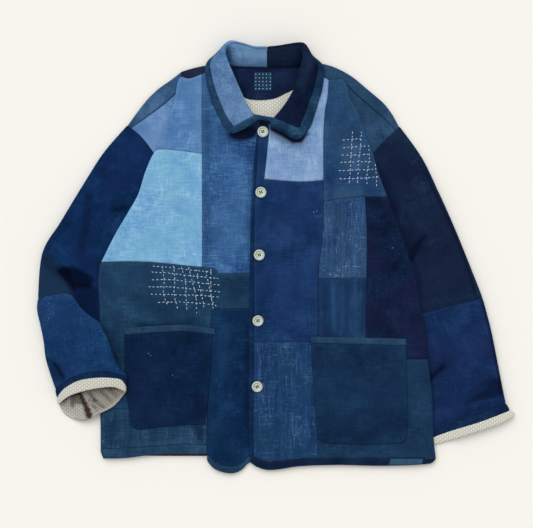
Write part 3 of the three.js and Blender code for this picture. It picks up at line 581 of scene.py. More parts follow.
def riceGrainLining():
    # Cream cotton with a small woven figure like upright grains of rice, in staggered columns 4.2 mm
    # apart, each grain 6.4 mm tall. It is soft and matt, and the gaps are a little sunken.
    material = cloths["creamLining"] = newMaterial("creamRiceGrain")
    place = addNode(material, "ShaderNodeTexCoord", {}, {}).outputs["Object"]
    upright = {"Vector": place, "Scale": (1000 / 4.2, 1000 / 6.4, 0), "Rotation": (0, 0, math.radians(90))}
    spot = addNode(material, "ShaderNodeMapping", {}, upright)
    grains = {"Vector": spot.outputs[0], "Scale": 1.0, "Mortar Size": 0.15, "Mortar Smooth": 0.6}
    grains.update({"Brick Width": 1.0, "Row Height": 1.0})
    figure = addNode(material, "ShaderNodeTexBrick", {"offset": 0.5, "squash": 1.0}, grains).outputs["Fac"]
    cloud = addNode(material, "ShaderNodeTexNoise", {}, {"Vector": place, "Scale": 60.0, "Detail": 3.0})
    shaded = addNode(material, "ShaderNodeAttribute", {"attribute_name": "shade"}, {}).outputs["Fac"]
    colour = linear("#e1e2da")
    for amount, over in ((figure, "#bbb8a9"), (shaded, "#3a2927")):
        inputs = {0: amount, 6: colour, 7: linear(over)}
        colour = addNode(material, "ShaderNodeMix", {"data_type": "RGBA"}, inputs).outputs[2]
    sunken = {0: figure, 1: -1.0, 2: cloud.outputs[0]}
    height = addNode(material, "ShaderNodeMath", {"operation": "MULTIPLY_ADD"}, sunken).outputs[0]
    bump = addNode(material, "ShaderNodeBump", {}, {"Height": height, "Strength": 0.35, "Distance": 0.0008})
    finish = {"Base Color": colour, "Normal": bump.outputs[0], "Roughness": 0.9, "Specular IOR Level": 0.2}
    shader = addNode(material, "ShaderNodeBsdfPrincipled", {}, finish)
    addNode(material, "ShaderNodeOutputMaterial", {}, {"Surface": shader.outputs[0]})


riceGrainLining()
print("materials made")


# Levels and relief of the two fronts

level = {
    "flap": lowest("front_right_lower_binding"),
    "right": lowest("front_right_sky_patch"),
    "left": lowest("front_left_main_panel"),
    "leftRise": highest("front_left_side_panel") - cut["wall"] - lowest("front_left_main_panel"),
    "yokeEdge": lowest("yoke_left"),
    "underPatch": lowest("front_right_armhole_patch"),
}
backLoop = nodeOutline("back_panel")

rightFront = {
    "swell": (1.04, 0.5),  # height of its broad hills, and of its small ones
    "broad": 62,  # mm across them
    "small": 24,
    "clear": (-45, -95),  # x, from where the left front covers it to where it lies free
    "roll": 2.6,  # how far the side seam rolls down
    "folds": [
        ([(-290, -98), (-255, -114), (-205, -118), (-160, -112)], 8, 2.0),
        ([(-282, -116), (-240, -127), (-196, -128)], 7, -0.8),
        ([(-318, -62), (-296, -100), (-280, -146)], 10, 1.6),
        ([(-72, -110), (-96, -210), (-115, -300), (-122, -370)], 9, 2.6),
        ([(-130, -205), (-139, -262), (-143, -320)], 9, -2.2),
        ([(-90, -110), (-82, -150), (-84, -190)], 10, 1.2),
        ([(-166, 168), (-153, 180), (-142, 194)], 2.6, 0.7),
        ([(-240, 60), (-214, 50), (-190, 54)], 5, 0.8),
        ([(-232, 42), (-226, 20), (-206, 10)], 4, 0.7),
        ([(-208, 150), (-200, 118), (-204, 90)], 5, 0.7),
        ([(-180, 300), (-194, 250), (-210, 205)], 9, 1.0),
    ],
}
leftFront = {
    "swell": (0.88, 0.5),
    "broad": 66,
    "small": 25,
    "rise": ((20, 90), (-340, -250)),  # x and y over which it rises onto the side panel
    "held": 18,  # mm round a button over which the cloth is held down
    "folds": [
        ([(176, -62), (210, -52), (252, -64)], 7, 1.2),
        ([(176, -8), (212, -18), (244, -24)], 7, 1.1),
        ([(178, -112), (208, -100), (256, -114)], 8, 1.2),
        ([(206, 98), (186, 60), (174, 10)], 9, 1.2),
        ([(14, 120), (20, 0), (10, -130)], 20, 1.0),
        ([(58, 100), (64, 10), (58, -100)], 14, 0.9),
        ([(20, -180), (26, -260), (20, -340)], 18, 0.8),
        ([(250, -200), (256, -260), (262, -340)], 10, 1.0),
        ([(110, 312), (124, 262), (150, 205)], 8, 0.9),
    ],
}
buttonBoxes = [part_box(f"button_{i + 1}") for i in range(5)]
buttonCentres = [((low[0] + high[0]) * 500, (low[1] + high[1]) * 500) for low, high in buttonBoxes]
ringTurns, ringRadius = np.linspace(0, 2 * np.pi, 17), 10.6
buttonShadowRings = [  # painted shadow round each button's rim
    ([(x + ringRadius * math.cos(t), y + ringRadius * math.sin(t)) for t in ringTurns], 1.8, 0.6)
    for x, y in buttonCentres
]


def hills(front, x, y, seed):
    # Broad and small random hills, and the folds that a front's dictionary asks for.
    broad, small = front["swell"]
    relief = broad * softNoise(x, y, front["broad"], seed) + small * softNoise(x, y, front["small"], seed + 1)
    return relief + bands(x, y, front["folds"])


def rightLevel(x, y):
    # The underside of the right front: low where it lies under the left, higher beyond, and rolled
    # down again at the side, where front and back are one fold.
    clear = ease(*rightFront["clear"], x)
    forearm = 1 - 0.8 * ease(-250, -275, x) * ease(-40, -70, y) * ease(-320, -300, y)
    rolled = rightFront["roll"] * ease(-304, -317, x) * ease(-45, -75, y)
    step = level["right"] - level["flap"]
    return level["flap"] + (step + hills(rightFront, x, y, 3) * forearm) * clear - rolled


def leftLevel(x, y):
    # The underside of the left front, which dips a little round each button.
    rise = level["leftRise"] * ease(*leftFront["rise"][0], x) * ease(*leftFront["rise"][1], y)
    relief = hills(leftFront, x, y, 13)
    for bx, by in buttonCentres:
        away = np.hypot(x - bx, y - by) / leftFront["held"]
        relief = relief * (1 - np.exp(-(away**4)))
    return level["left"] + rise + np.maximum(relief, 0)


def yokeLevel(x, y, width=26):
    # The underside of a yoke, rounding down to the shoulder's edge over `width`.
    depth, *_ = nearestOn(backLoop, x, y)
    return level["yokeEdge"] + (level["right"] - level["yokeEdge"]) * ease(0, width, depth)


def constant(value):
    return lambda x, y: np.full(np.shape(x), float(value))


# Right front

shoulderPatch = {
    "node": "front_right_shoulder_patch",
    "cloth": "fadedChambray",
    "shaded": [([(-133, 335), (-133, 260), (-133, 180)], 2.2, 0.25)],
}
skyPatch = {
    "node": "front_right_sky_patch",
    "cloth": "washedSkyCotton",
    "fadedAndLit": [([(-170, 166), (-155, 180), (-141, 196)], 2, 0.5)],
    "wearAndLight": 0.5,
}
columnPatch = {
    "node": "front_right_column_patch",
    "cloth": "slubColumnCotton",
    "fadedAndLit": [
        ([(-76, 210), (-76, 90), (-76, -30)], 34, 0.28),
        ([(-130, 182), (-100, 184), (-60, 183)], 1.4, 0.5),
    ],
    "shaded": [
        ([(-127, 340), (-124, 220), (-124, 60), (-126, -60)], 8, 0.24),
        ([(-96, 250), (-80, 228), (-60, 222), (-30, 222)], 14, 0.35),
        ([(-92, 226), (-72, 216), (-50, 218), (-30, 232)], 6, 0.8),
        ([(-42, 230), (-44, 100), (-46, -40)], 7, 0.3),
    ],
    "shadedWedges": [
        ([(-80, 222), (-60, 217), (-42, 220), (-30, 230), (20, 230), (20, 262), (-40, 262)], 4, 0.8)
    ],
}
tealPatch = {
    "node": "front_right_teal_patch",
    "cloth": "tealIndigo",
    "shaded": [
        ([(-278, -112), (-240, -122), (-196, -122), (-130, -112)], 9, 0.5),
        ([(-250, -80), (-190, -96), (-130, -100)], 16, 0.25),
        ([(-134, -2), (-108, -12), (-84, -30)], 12, 0.5),
        ([(-312, -120), (-296, -150), (-288, -200)], 16, 0.5),
        ([(-100, -34), (-70, -54), (-48, -74)], 20, 0.4),
    ],
}
lowerPanel = {
    "node": "front_right_lower_panel",
    "cloth": "deepIndigo",
    "shaded": [
        ([(-128, -200), (-128, -260), (-124, -360)], 5, 0.6),
        ([(-50, -90), (-52, -220), (-52, -350)], 7, 0.5),
    ],
    "fadedAndLit": [([(-80, -110), (-96, -160), (-92, -230)], 12, 0.3)],
}
hemPatch = {
    "node": "front_right_hem_patch",
    "cloth": "hemKasuri",
    "shaded": [([(-150, -268), (-140, -300), (-134, -340)], 10, 0.6)],
    "fadedAndLit": [
        ([(-232, -300), (-232, -322), (-232, -345)], 1.5, 0.5),
        ([(-198, -300), (-198, -322), (-198, -345)], 1.5, 0.45),
        ([(-170, -300), (-171, -322), (-170, -345)], 1.5, 0.45),
        ([(-260, -336), (-200, -334), (-140, -328)], 4, 0.35),
    ],
}
for piece in (shoulderPatch, skyPatch, columnPatch, tealPatch, lowerPanel, hemPatch):
    flatPiece(piece, rightLevel)
for edge in ("hem", "lower"):
    flatPiece({"node": f"front_right_{edge}_binding", "cloth": "lowerBindingIndigo"}, rightLevel)
rightArmholePatch = {
    "node": "front_right_armhole_patch",
    "cloth": "fadedChambray",
    "fadedAndLit": [([(-240, 180), (-212, 222), (-186, 280)], 26, 0.35)],
}
flatPiece(rightArmholePatch, constant(level["underPatch"]))
print("right front made")

# Left front

mainPanel = {
    "node": "front_left_main_panel",
    "cloth": "navyTwill",
    "shaded": buttonShadowRings,
    "fadedAndLit": [([(-30, 40), (0, 30), (30, 60)], 26, 0.12), ([(66, 76), (78, 74), (88, 78)], 2, 0.5)],
}
periwinklePatch = {
    "node": "front_left_periwinkle_patch",
    "cloth": "periwinkleCotton",
    "shaded": [
        ([(-20, 234), (10, 214), (38, 206), (58, 220)], 8, 0.5),
    ],
    "shadedWedges": [
        ([(-16, 250), (-12, 230), (0, 224), (14, 216), (30, 207), (46, 208), (60, 222), (40, 250)], 4, 0.9)
    ],
}
sashikoPatch = {
    "node": "front_left_sashiko_patch",
    "cloth": "sashikoIndigo",
    "shaded": [([(92, 330), (90, 290), (86, 240)], 3, 0.3)],
    "fadedAndLit": [
        ([(96, 118), (128, 116), (164, 120)], 14, 0.35),
        ([(120, 210), (132, 180), (142, 150)], 26, 0.3),
    ],
}
kasuriPatch = {
    "node": "front_left_kasuri_patch",
    "cloth": "kasuriIndigo",
    "fadedAndLit": [
        ([(92, 100), (91, 30), (90, -36)], 2.2, 0.45),
        ([(102, 100), (101, 30), (101, -36)], 1.6, 0.4),
        ([(118, 90), (120, 30), (118, -20)], 3, 0.3),
    ],
}
plainPatch = {
    "node": "front_left_plain_patch",
    "cloth": "plainIndigo",
    "shaded": [([(164, -30), (164, -90), (163, -140)], 8, 0.3)],
    "fadedAndLit": [
        ([(104, -40), (104, -90), (104, -140)], 4, 0.5),
        ([(120, -40), (120, -90), (120, -140)], 4, 0.3),
    ],
}
lowerPanelLeft = {
    "node": "front_left_lower_panel",
    "cloth": "speckledIndigo",
    "shaded": buttonShadowRings[-2:],
    "fadedAndLit": [
        ([(-30, -160), (-31, -250), (-28, -340)], 2.2, 0.5),
        ([(6, -160), (6, -200), (8, -300)], 2, 0.4),
        ([(54, -160), (54, -250), (52, -350)], 2.2, 0.45),
        ([(32, -200), (33, -280), (34, -350)], 2, 0.35),
    ],
}
topCorner = {
    "node": "front_left_top_corner",
    "cloth": "darkNavy",
    "shaded": [([(-44, 244), (-24, 241), (-4, 240)], 8, 0.9)],
}
edgeBinding = {
    "node": "front_left_edge_binding",
    "cloth": "edgeIndigo",
    "allowance": 0,
    "shaded": buttonShadowRings,
}
sidePanel = {"node": "front_left_side_panel", "cloth": "aubergineNavy"}
sideHemPatch = {"node": "front_left_side_hem_patch", "cloth": "hemTeal"}
leftHem = {"node": "front_left_hem_binding", "cloth": "darkNavy", "allowance": 0}
leftArmholePatch = {"node": "front_left_armhole_patch", "cloth": "shoulderTeal"}
for piece in (
    topCorner, edgeBinding, mainPanel, periwinklePatch, sashikoPatch, kasuriPatch, plainPatch,
    sidePanel, lowerPanelLeft, sideHemPatch, leftHem,
):
    flatPiece(piece, leftLevel)
flatPiece(leftArmholePatch, constant(level["underPatch"]))
repair = {
    "node": "hem_repair_patch",
    "cloth": "repairBlue",
    "wall": 1.0,
    "rests": "front_left_hem_binding",
    "allowance": 0,
    "pucker": 0,
}
flatPiece(repair, lambda x, y: leftLevel(x, y) + cut["wall"] + cut["seam"])
print("left front made")

# Pockets: each lies on its front, its middle a little full


def pocketLevel(front, centre, reach, full=1.3):
    def over(x, y):
        away = (x - centre[0]) ** 2 / reach[0] ** 2 + (y - centre[1]) ** 2 / reach[1] ** 2
        return front(x, y) + cut["wall"] + cut["seam"] + full * np.exp(-away)

    return over


rightPocket = {
    "node": "pocket_right",
    "cloth": "pocketNavy",
    "wall": 2.0,
    "rests": "front_right_teal_patch",
    "shaded": [([(-150, -230), (-138, -270), (-134, -300)], 12, 0.5)],
}
leftPocket = {"node": "pocket_left", "cloth": "pocketTeal", "wall": 2.0, "rests": "front_left_lower_panel"}
overRight = pocketLevel(rightLevel, (-200, -210), (60, 70))
overLeft = pocketLevel(leftLevel, (150, -240), (65, 75))
binding = {"cloth": "pocketBinding", "wall": 2.7, "allowance": 0, "pucker": 0.5}
rightTop = {"node": "pocket_right_binding", "rests": "front_right_teal_patch", **binding}
leftTop = {"node": "pocket_left_binding", "rests": "front_left_plain_patch", **binding}
for piece in (rightPocket, leftPocket, rightTop, leftTop):
    flatPiece(piece, overLeft if "left" in piece["node"] else overRight)
print("pockets made")

# Back, yokes, and what shows inside the neck

back = {"node": "back_panel", "cloth": "backIndigo", "grid": cut["backGrid"], "rests": []}
backHem = {"node": "back_hem_binding", "cloth": "maroonCotton", "rests": [], "allowance": 0}
flatPiece(back, constant(0))
flatPiece(backHem, constant(0))
yokes = {"right_outer": "shoulderIndigo", "right_inner": "shoulderDark", "left": "shoulderTeal"}
for name, cloth in yokes.items():
    flatPiece({"node": "yoke_" + name, "cloth": cloth}, yokeLevel)
thin = {"wall": 1.2, "allowance": 0, "pucker": 0.2}
lining = {"node": "back_lining", "cloth": "creamLining", **thin}
facing = {
    "node": "neck_facing",
    "cloth": "facingNavy",
    "rests": "back_lining",
    "wearAndLight": 0,
    "shaded": [
        ([(-110, 343), (-16, 344), (70, 343)], 3.5, 1.0),
        ([(-80, 340), (-70, 312), (-50, 290)], 7, 0.4),
    ],
    **thin,
}
label = {
    "node": "neck_label",
    "cloth": "labelIndigo",
    "rests": "neck_facing",
    "wall": 0.8,
    "allowance": 0,
    "pucker": 0.1,
}
for piece in (lining, facing, label):
    flatPiece(piece, constant(lowest(piece["node"])))
print("back, yokes and neck made")

# Surfaces that aren't flat: the collar's strips and the sleeves' tubes


def edgeDepth(face, wrap):
    # Distance along the grid to its nearest free edge.
    down = np.linalg.norm(np.diff(face, axis=0), axis=2)
    down = np.concatenate([np.zeros((1, face.shape[1])), np.cumsum(down, axis=0)])
    depth = np.minimum(down, down[-1] - down)
    if not wrap:
        over = np.linalg.norm(np.diff(face, axis=1), axis=2)
        over = np.concatenate([np.zeros((face.shape[0], 1)), np.cumsum(over, axis=1)], axis=1)
        depth = np.minimum(depth, np.minimum(over, over[:, -1:] - over))
    return depth


# Collar: rows from one end to the middle of the back


def leafGrid(stations, rows=90, across=22):
    # Each row is a parabola from the inner edge over a raised crown to the bound edge, and a station's
    # last number says how far towards the bound edge the crown lies.
    u, v = np.linspace(0, 1, rows), np.linspace(0, 1, across)[None, :, None]
    inner = through([s[0] for s in stations], u)[:, None]
    bound = through([s[1] for s in stations], u)[:, None]
    reach = through([[s[2]] for s in stations], u)[:, None]
    crown = inner + (bound - inner) * reach
    crown[..., 2] = inner[..., 2] + collar["crown"]
    return inner * (1 - v) ** 2 + crown * 2 * v * (1 - v) + bound * v**2


def stripGrid(stations, rows=110, across=10, swell=0, lap=0):
    # Each row is straight between two edges, or bows up by `swell` in its middle. Its first edge lies
    # `lap` further out, over what it is sewn to.
    u, v = np.linspace(0, 1, rows), np.linspace(0, 1, across)[None, :, None]
    first = through([s[0] for s in stations], u)[:, None]
    second = through([s[1] for s in stations], u)[:, None]
    outward = (first - second) / np.linalg.norm(first - second, axis=2, keepdims=True)
    first = first + outward * lap + np.array([0, 0, 0.3 * lap])
    grid = first * (1 - v) + second * v
    grid[..., 2] += (swell * np.sin(np.pi * v))[..., 0]
    return grid


collar = {
    "wall": 2.6,
    "roundOff": 2.2,
    "wearAndLight": 0.3,
    "crown": 3.2,  # how far a leaf rises above its inner edge
    "swell": 0.9,  # height of its random hills, `hill` apart
    "hill": 26,
    "middle": -16,  # x of the seam at the back, with a gap each side
    "gap": 0.15,
    "edge": 12.3,  # level of the leaf's bound edge
}
nearMiddle, pastMiddle = collar["middle"] - collar["gap"], collar["middle"] + collar["gap"]
leafEdge = collar["edge"]
rightLeaf = {
    "node": "collar_right",
    "cloth": "collarChambray",
    "folds": [
        ([(-92, 352), (-86, 330), (-74, 300)], 3, 0.8),
        ([(-112, 340), (-104, 316), (-96, 300)], 5, -0.8),
    ],
    "stations": [
        ([-38, 255, 18], [-76, 235, leafEdge], 0.5),
        ([-50, 272, 21], [-90, 254, leafEdge], 0.5),
        ([-62, 297, 24], [-103, 283, leafEdge], 0.5),
        ([-76, 329, 27], [-114, 314, leafEdge], 0.5),
        ([-86, 352, 29.5], [-119, 349, leafEdge], 0.6),
        ([-90, 371, 31], [-105, 369, 9.5], 1),
        ([-80, 382.2, 31.5], [-84, 388.2, 8], 1.1),
        ([-60, 379, 31.5], [-60, 385, 8], 1.1),
        ([-38, 373, 31.5], [-38, 379, 8], 1.1),
        ([nearMiddle, 372, 31.5], [nearMiddle, 378, 8], 1.1),
    ],
}
leftLeaf = {
    "node": "collar_left",
    "cloth": "collarNavy",
    "folds": [([(52, 352), (44, 322), (30, 296)], 4, 0.8), ([(70, 342), (60, 310), (54, 290)], 5, -0.8)],
    # painted highlight along the leaf's fold
    "fadedAndLit": [([(56, 372), (60, 350), (50, 320), (40, 300)], 9, 0.35)],
    "stations": [
        ([-5, 250, 18], [40, 232, leafEdge], 0.5),
        ([12, 270, 21], [52, 254, leafEdge], 0.5),
        ([24, 288, 24], [61, 281, leafEdge], 0.5),
        ([35, 310, 27], [69, 305, leafEdge], 0.5),
        ([44, 345, 29.5], [77, 345, leafEdge], 0.6),
        ([48, 367, 31], [63, 366, 9.5], 1),
        ([42, 378, 31.5], [50, 384.5, 8], 1.1),
        ([22, 377, 31.5], [22, 383, 8], 1.1),
        ([2, 374, 31.5], [2, 380, 8], 1.1),
        ([pastMiddle, 372, 31.5], [pastMiddle, 378, 8], 1.1),
    ],
}
foot = highest("front_right_column_patch") + 0.6
rightStand = {
    "node": "collar_stand_right",
    "cloth": "collarChambray",
    "folds": [
        ([(-74, 380), (-68, 366), (-62, 352)], 4, 1.0),
        ([(-58, 376), (-50, 364), (-46, 350)], 4, -0.8),
    ],
    "shaded": [
        ([(-92, 384), (-86, 366), (-82, 346)], 6, 0.7),
        ([(-64, 378), (-60, 366), (-56, 350)], 3, 0.2),
    ],
    # painted light along the stand's upper part, against the shade the leaf casts on it
    "fadedAndLit": [([(-84, 362), (-52, 366), (-30, 362), (10, 362)], 10, 0.75)],
    "stations": [
        ([-48, 254, foot], [-44, 258, 13]),
        ([-59, 267, foot], [-54, 273, 15.6]),
        ([-73, 292, foot], [-66, 298, 18.6]),
        ([-86, 322, foot], [-79.5, 330, 21.6]),
        ([-95, 344, foot], [-89.5, 352, 24]),
        ([-91, 346, 6.2], [-89.6, 370, 30.6]),
        ([-76, 344.5, 6.2], [-80, 381.6, 31]),
        ([-46, 343, 6.2], [-50, 375.8, 31.1]),
        ([nearMiddle, 342, 6.2], [nearMiddle, 371.8, 31.1]),
    ],
}
leftStand = {
    "node": "collar_stand_left",
    "cloth": "collarNavy",
    "fadedAndLit": [([(-24, 362), (0, 364), (24, 366), (46, 366)], 14, 0.35)],
    "stations": [
        ([5, 250, foot], [2, 255, 13]),
        ([18, 263, foot], [14.5, 269.5, 15.6]),
        ([32, 282, foot], [27, 287, 18.6]),
        ([44, 305, foot], [38.5, 310, 21.6]),
        ([53, 338, foot], [47.5, 345, 24]),
        ([51, 345, 6.2], [48.2, 366, 30.6]),
        ([38, 343.5, 6.2], [42, 377.6, 31]),
        ([14, 342.5, 6.2], [14, 375.4, 31.1]),
        ([pastMiddle, 342, 6.2], [pastMiddle, 371.8, 31.1]),
    ],
}
bound = leafEdge + 0.3
rightBinding = {
    "node": "collar_binding_right",
    "cloth": "collarBinding",
    "shaded": [
        ([(-30, 244), (-48, 233), (-66, 223), (-84, 220)], 2.6, 0.5),
        ([(-92, 234), (-108, 262), (-118, 292), (-128, 330)], 2.4, 0.45),
    ],
    "stations": [
        ([-37.6, 254, 17.6], [-31.6, 246.8, 15]),
        ([-57, 244.4, 17.6], [-50, 234, 14.4]),
        ([-76.2, 234.5, bound], [-77, 223, bound]),
        ([-84, 244.6, bound], [-94, 236, bound]),
        ([-90.6, 253.8, bound], [-102, 251, bound]),
        ([-103.6, 282.8, bound], [-115, 280, bound]),
        ([-114.6, 313.8, bound], [-124, 311, bound]),
        ([-119.6, 349, bound], [-127, 346, bound]),
        ([-105.6, 370, 8.8], [-109, 367, 3.4]),
        ([-84, 388.4, 7.4], [-84, 388.4, 0.4]),
        ([-60, 385.2, 7.4], [-60, 385, 0.4]),
        ([-38, 379.2, 7.4], [-38, 379, 0.4]),
        ([nearMiddle, 378.2, 7.4], [nearMiddle, 378, 0.4]),
    ],
}
leftBinding = {
    "node": "collar_binding_left",
    "cloth": "collarBinding",
    "shaded": [
        ([(-20, 240), (-7, 233), (12, 224), (30, 213), (50, 208)], 6.5, 0.75),
        ([(-40, 246), (-24, 246), (-12, 244)], 2.5, 0.5),
        ([(80, 300), (86, 330), (88, 350)], 3, 0.3),
    ],
    "stations": [
        ([-39.5, 255.4, 18.6], [-36.5, 246.4, 16.6]),
        ([-12, 250.6, 17.6], [-11.6, 243.8, 15.2]),
        ([-5.4, 249.3, 17.6], [-9, 233, 14.2]),
        ([17.4, 240.4, 17.6], [10, 224, 14]),
        ([40.2, 231.5, bound], [38, 211, bound]),
        ([46.6, 243, bound], [60, 232, bound]),
        ([52.6, 253.8, bound], [68, 251, bound]),
        ([61.6, 280.9, bound], [77, 281, bound]),
        ([69.6, 304.9, bound], [84, 306, bound]),
        ([76.6, 345, bound], [86, 343, bound]),
        ([63.2, 366.6, 8.8], [67, 364, 3.4]),
        ([50.2, 385.2, 7.4], [51, 385.2, 0.4]),
        ([22, 383.2, 7.4], [22, 383, 0.4]),
        ([2, 380.2, 7.4], [2, 380, 0.4]),
        ([pastMiddle, 378.2, 7.4], [pastMiddle, 378, 0.4]),
    ],
}


def collarPiece(piece, face, side):
    # A wall on one side (1 or -1) of a grid (rows, columns, 3): each point moves out along the grid's
    # normal by the thickness, and near the free edges both sides draw together as a quarter circle does.
    x, y = face[..., 0], face[..., 1]
    relief = collar["swell"] * (softNoise(x, y, collar["hill"], 21) - 0.5)
    relief = relief + bands(x, y, piece.get("folds", []))
    fadedAndLit, shaded = (np.tile(tint(piece, key, x, y).ravel(), 2) for key in ("fadedAndLit", "shaded"))
    normal = np.cross(np.gradient(face, axis=0), np.gradient(face, axis=1))
    normal *= side / np.maximum(np.linalg.norm(normal, axis=2, keepdims=True), 1e-9)
    depth = edgeDepth(face, False)
    face = face - normal * relief[..., None]
    rounded = 1 - np.sqrt(1 - np.clip(1 - depth / collar["roundOff"], 0, 1) ** 2)
    pinch = (collar["wall"] * 0.35 * rounded)[..., None]
    places, faces = closedShell(face + normal * pinch, face + normal * (collar["wall"] - pinch), False)
    x, y = places[:, 0], places[:, 1]
    # rubbed dye along the free edges, with the piece's faded streaks and painted highlights
    wearAndLight = fadedAndLit + seamWear(np.tile(depth.ravel(), 2), x, y, collar["wearAndLight"])
    material = cloths[piece["cloth"]]
    made = makePiece(piece["node"] + "_cloth", piece["node"], material, places, [faces], wearAndLight, shaded)


for piece, side in ((rightLeaf, -1), (leftLeaf, 1)):
    collarPiece(piece, leafGrid(piece["stations"]), side)
for piece, side in ((rightStand, -1), (leftStand, 1)):
    collarPiece(piece, stripGrid(piece["stations"]), side)
for piece, side in ((rightBinding, -1), (leftBinding, 1)):
    collarPiece(piece, stripGrid(piece["stations"], rows=150, across=12, swell=0.8, lap=1.9), side)
print("collar made")

# Sleeves: flattened tubes, each ring running over the top from the outer edge to the inner and back under

sleeve = {
    "armhole": 6,  # this and the next four: height of the flattened tube there
    "upper": 15,
    "forearm": 17,
    "wrist": 19.5,
    "cuff": 22,
    "outerWall": 1.5,
    "lining": (0.2, 1.0),  # where its two sides lie, inside the outer cloth
    "around": 96,  # points in a ring
    "pinchSpan": (0.55, 0.83),  # share of the width over which a tube thins towards the body
    "fullness": 0.6,  # power that makes the upper side's round: lower is flatter on top
    "curl": 0.7,  # share of the round over which the under side curls up
    "hill": 46,
    "roundOff": 2.4,
    "wearAndLight": 0.25,
    "inside": 0.26,  # how much painted shade lies inside a cuff
}


def tubeGrid(tube, stations, inset):
    # Rings at the stations u (0 to 1). A place in the plan comes from the four edges (start and end
    # cross the sleeve, outer and inner run down it): the two blends of facing edges, less the blend of
    # the four corners. Its level comes from a flattened round, low at the body where it is pinched.
    half, pinched = sleeve["around"] // 2, tube.get("pinch", 0)
    u = np.array(stations)[:, None]
    turn = np.linspace(0, 2 * np.pi, sleeve["around"], endpoint=False)[None, :]
    top = turn <= np.pi
    v = (1 - np.cos(turn)) / 2
    start, end = (
        np.where(top[..., None], through(tube[key], v), through(tube.get(key + "Under", tube[key]), v))
        for key in ("start", "end")
    )
    outer = through([tube["start"][0], *tube["outer"], tube["end"][0]], u)
    inner = through([tube["start"][-1], *tube["inner"], tube["end"][-1]], u)
    us, vs = u[..., None], v[..., None]
    corners = (start[:, :1] * (1 - vs) + start[:, [half]] * vs) * (1 - us)
    corners = corners + (end[:, :1] * (1 - vs) + end[:, [half]] * vs) * us
    plan = start * (1 - us) + end * us + outer * (1 - vs) + inner * vs - corners
    inward = inner - outer
    inward /= np.linalg.norm(inward, axis=2, keepdims=True)
    plan = plan + inward * (inset * (1 - 2 * vs))
    bulge = np.abs(np.sin(turn))
    height = tube["height"](u)
    tall = height + (sleeve["armhole"] - height) * pinched * ease(*sleeve["pinchSpan"], v)
    side = tall / 2
    upper = side + (tall - side - inset) * bulge ** sleeve["fullness"]
    under = inset + (side - inset) * np.maximum(0, 1 - bulge / sleeve["curl"]) ** 2
    x, y = plan[..., 0], plan[..., 1]
    full = np.where(top, ease(0, 0.5, bulge), 0) * ease(0.9, 0.6, pinched * v)
    relief = tube.get("swell", 0) * (softNoise(x, y, sleeve["hill"], 31) - 0.6)
    relief = relief + bands(x, y, tube.get("folds", []))
    z = tube["base"](x) + np.where(top, upper, under) + full * relief
    return np.stack([x, y, z], axis=-1)


def stationsFor(tube, spacing):
    edge = np.array([tube["start"][0], *tube["outer"], tube["end"][0]])
    length = np.linalg.norm(np.diff(edge, axis=0), axis=1).sum()
    return np.linspace(0, 1, max(6, round(length / spacing)))


def sleevePiece(tube):
    # The outer cloth of a tube: an outer and an inner skin a wall apart, drawn in a little at both ends.
    stations = stationsFor(tube, spacing=2.6)
    face, back = (tubeGrid(tube, stations, inset) for inset in (0, sleeve["outerWall"]))
    depth = edgeDepth(face, True)
    pinch = (0.45 * np.sqrt(np.clip(1 - depth / sleeve["roundOff"], 0, 1)))[..., None]
    face, back = face + (back - face) * pinch, back + (face - back) * pinch * 0.4
    places, faces = closedShell(face, back, True)
    x, y = places[:, 0], places[:, 1]
    # rubbed dye along the free edges, with the piece's faded streaks and painted highlights
    wearAndLight = seamWear(np.tile(depth.ravel(), 2), x, y, sleeve["wearAndLight"]) + tint(tube, "fadedAndLit", x, y)
    shade = tint(tube, "shaded", x, y)
    material = cloths[tube["cloth"]]
    made = makePiece(tube["node"] + "_cloth", tube["node"], material, places, [faces], wearAndLight, shade)


def liningPiece(lip, cuff, forearm):
    # The lining turned out over the cuff, and its inside, which runs a third of the way up the forearm.
    wall, half = sleeve["outerWall"], sleeve["around"] // 2
    stations = stationsFor(lip, spacing=1.6)
    face, back = (tubeGrid(lip, stations, inset) for inset in (0, wall))
    pinch = (0.4 * np.sqrt(np.clip(1 - edgeDepth(face, True) / 2.2, 0, 1)))[..., None]
    band = closedShell(face + (back - face) * pinch, back, True)
    deep, near = np.linspace(0.66, 0.99, 34), np.linspace(0.02, 0.98, 9)
    parts = ((forearm, deep), (cuff, near), (lip, stations))

    def sideOf(inset):
        grid = np.concatenate([tubeGrid(tube, places, wall + inset) for tube, places in parts])
        x, y = grid[:, half:, 0], grid[:, half:, 1]
        spread = np.sin(np.linspace(0, np.pi, x.shape[1]))[None, :]
        grid[:, half:, 2] += spread * np.maximum(bands(x, y, lip.get("innerFolds", [])), -0.2)
        return grid

    outside, shown = (sideOf(inset) for inset in sleeve["lining"])
    tube = closedShell(outside, shown, True)
    places = np.concatenate([band[0], tube[0]])
    faces = np.concatenate([band[1], tube[1] + len(band[0])])
    x, y = places[:, 0], places[:, 1]
    within = np.arange(len(places)) >= len(band[0])
    # painted shade: the inside of the cuff and its shaded bands darker, less the painted light of the lit
    # bands, and the dim amount over all of it
    dark = tint(lip, "shaded", x, y) + sleeve["inside"] - bands(x, y, lip.get("lit", []))
    shade = dark * within + lip["dim"]
    material = cloths["creamLining"]
    made = makePiece(lip["node"] + "_cloth", lip["node"], material, places, [faces], shade=shade)


def onFloor(x):
    return np.zeros(np.shape(x))


def overBody(x):
    # The right forearm rises from the floor onto the body.
    return (highest("pocket_right") + 0.7) * ease(-380, -321, x)


def growing(first, last):
    return lambda u: sleeve[first] + (sleeve[last] - sleeve[first]) * u


def fromArmhole(u):
    return sleeve["armhole"] + (sleeve["upper"] - sleeve["armhole"]) * ease(0, 0.5, u)


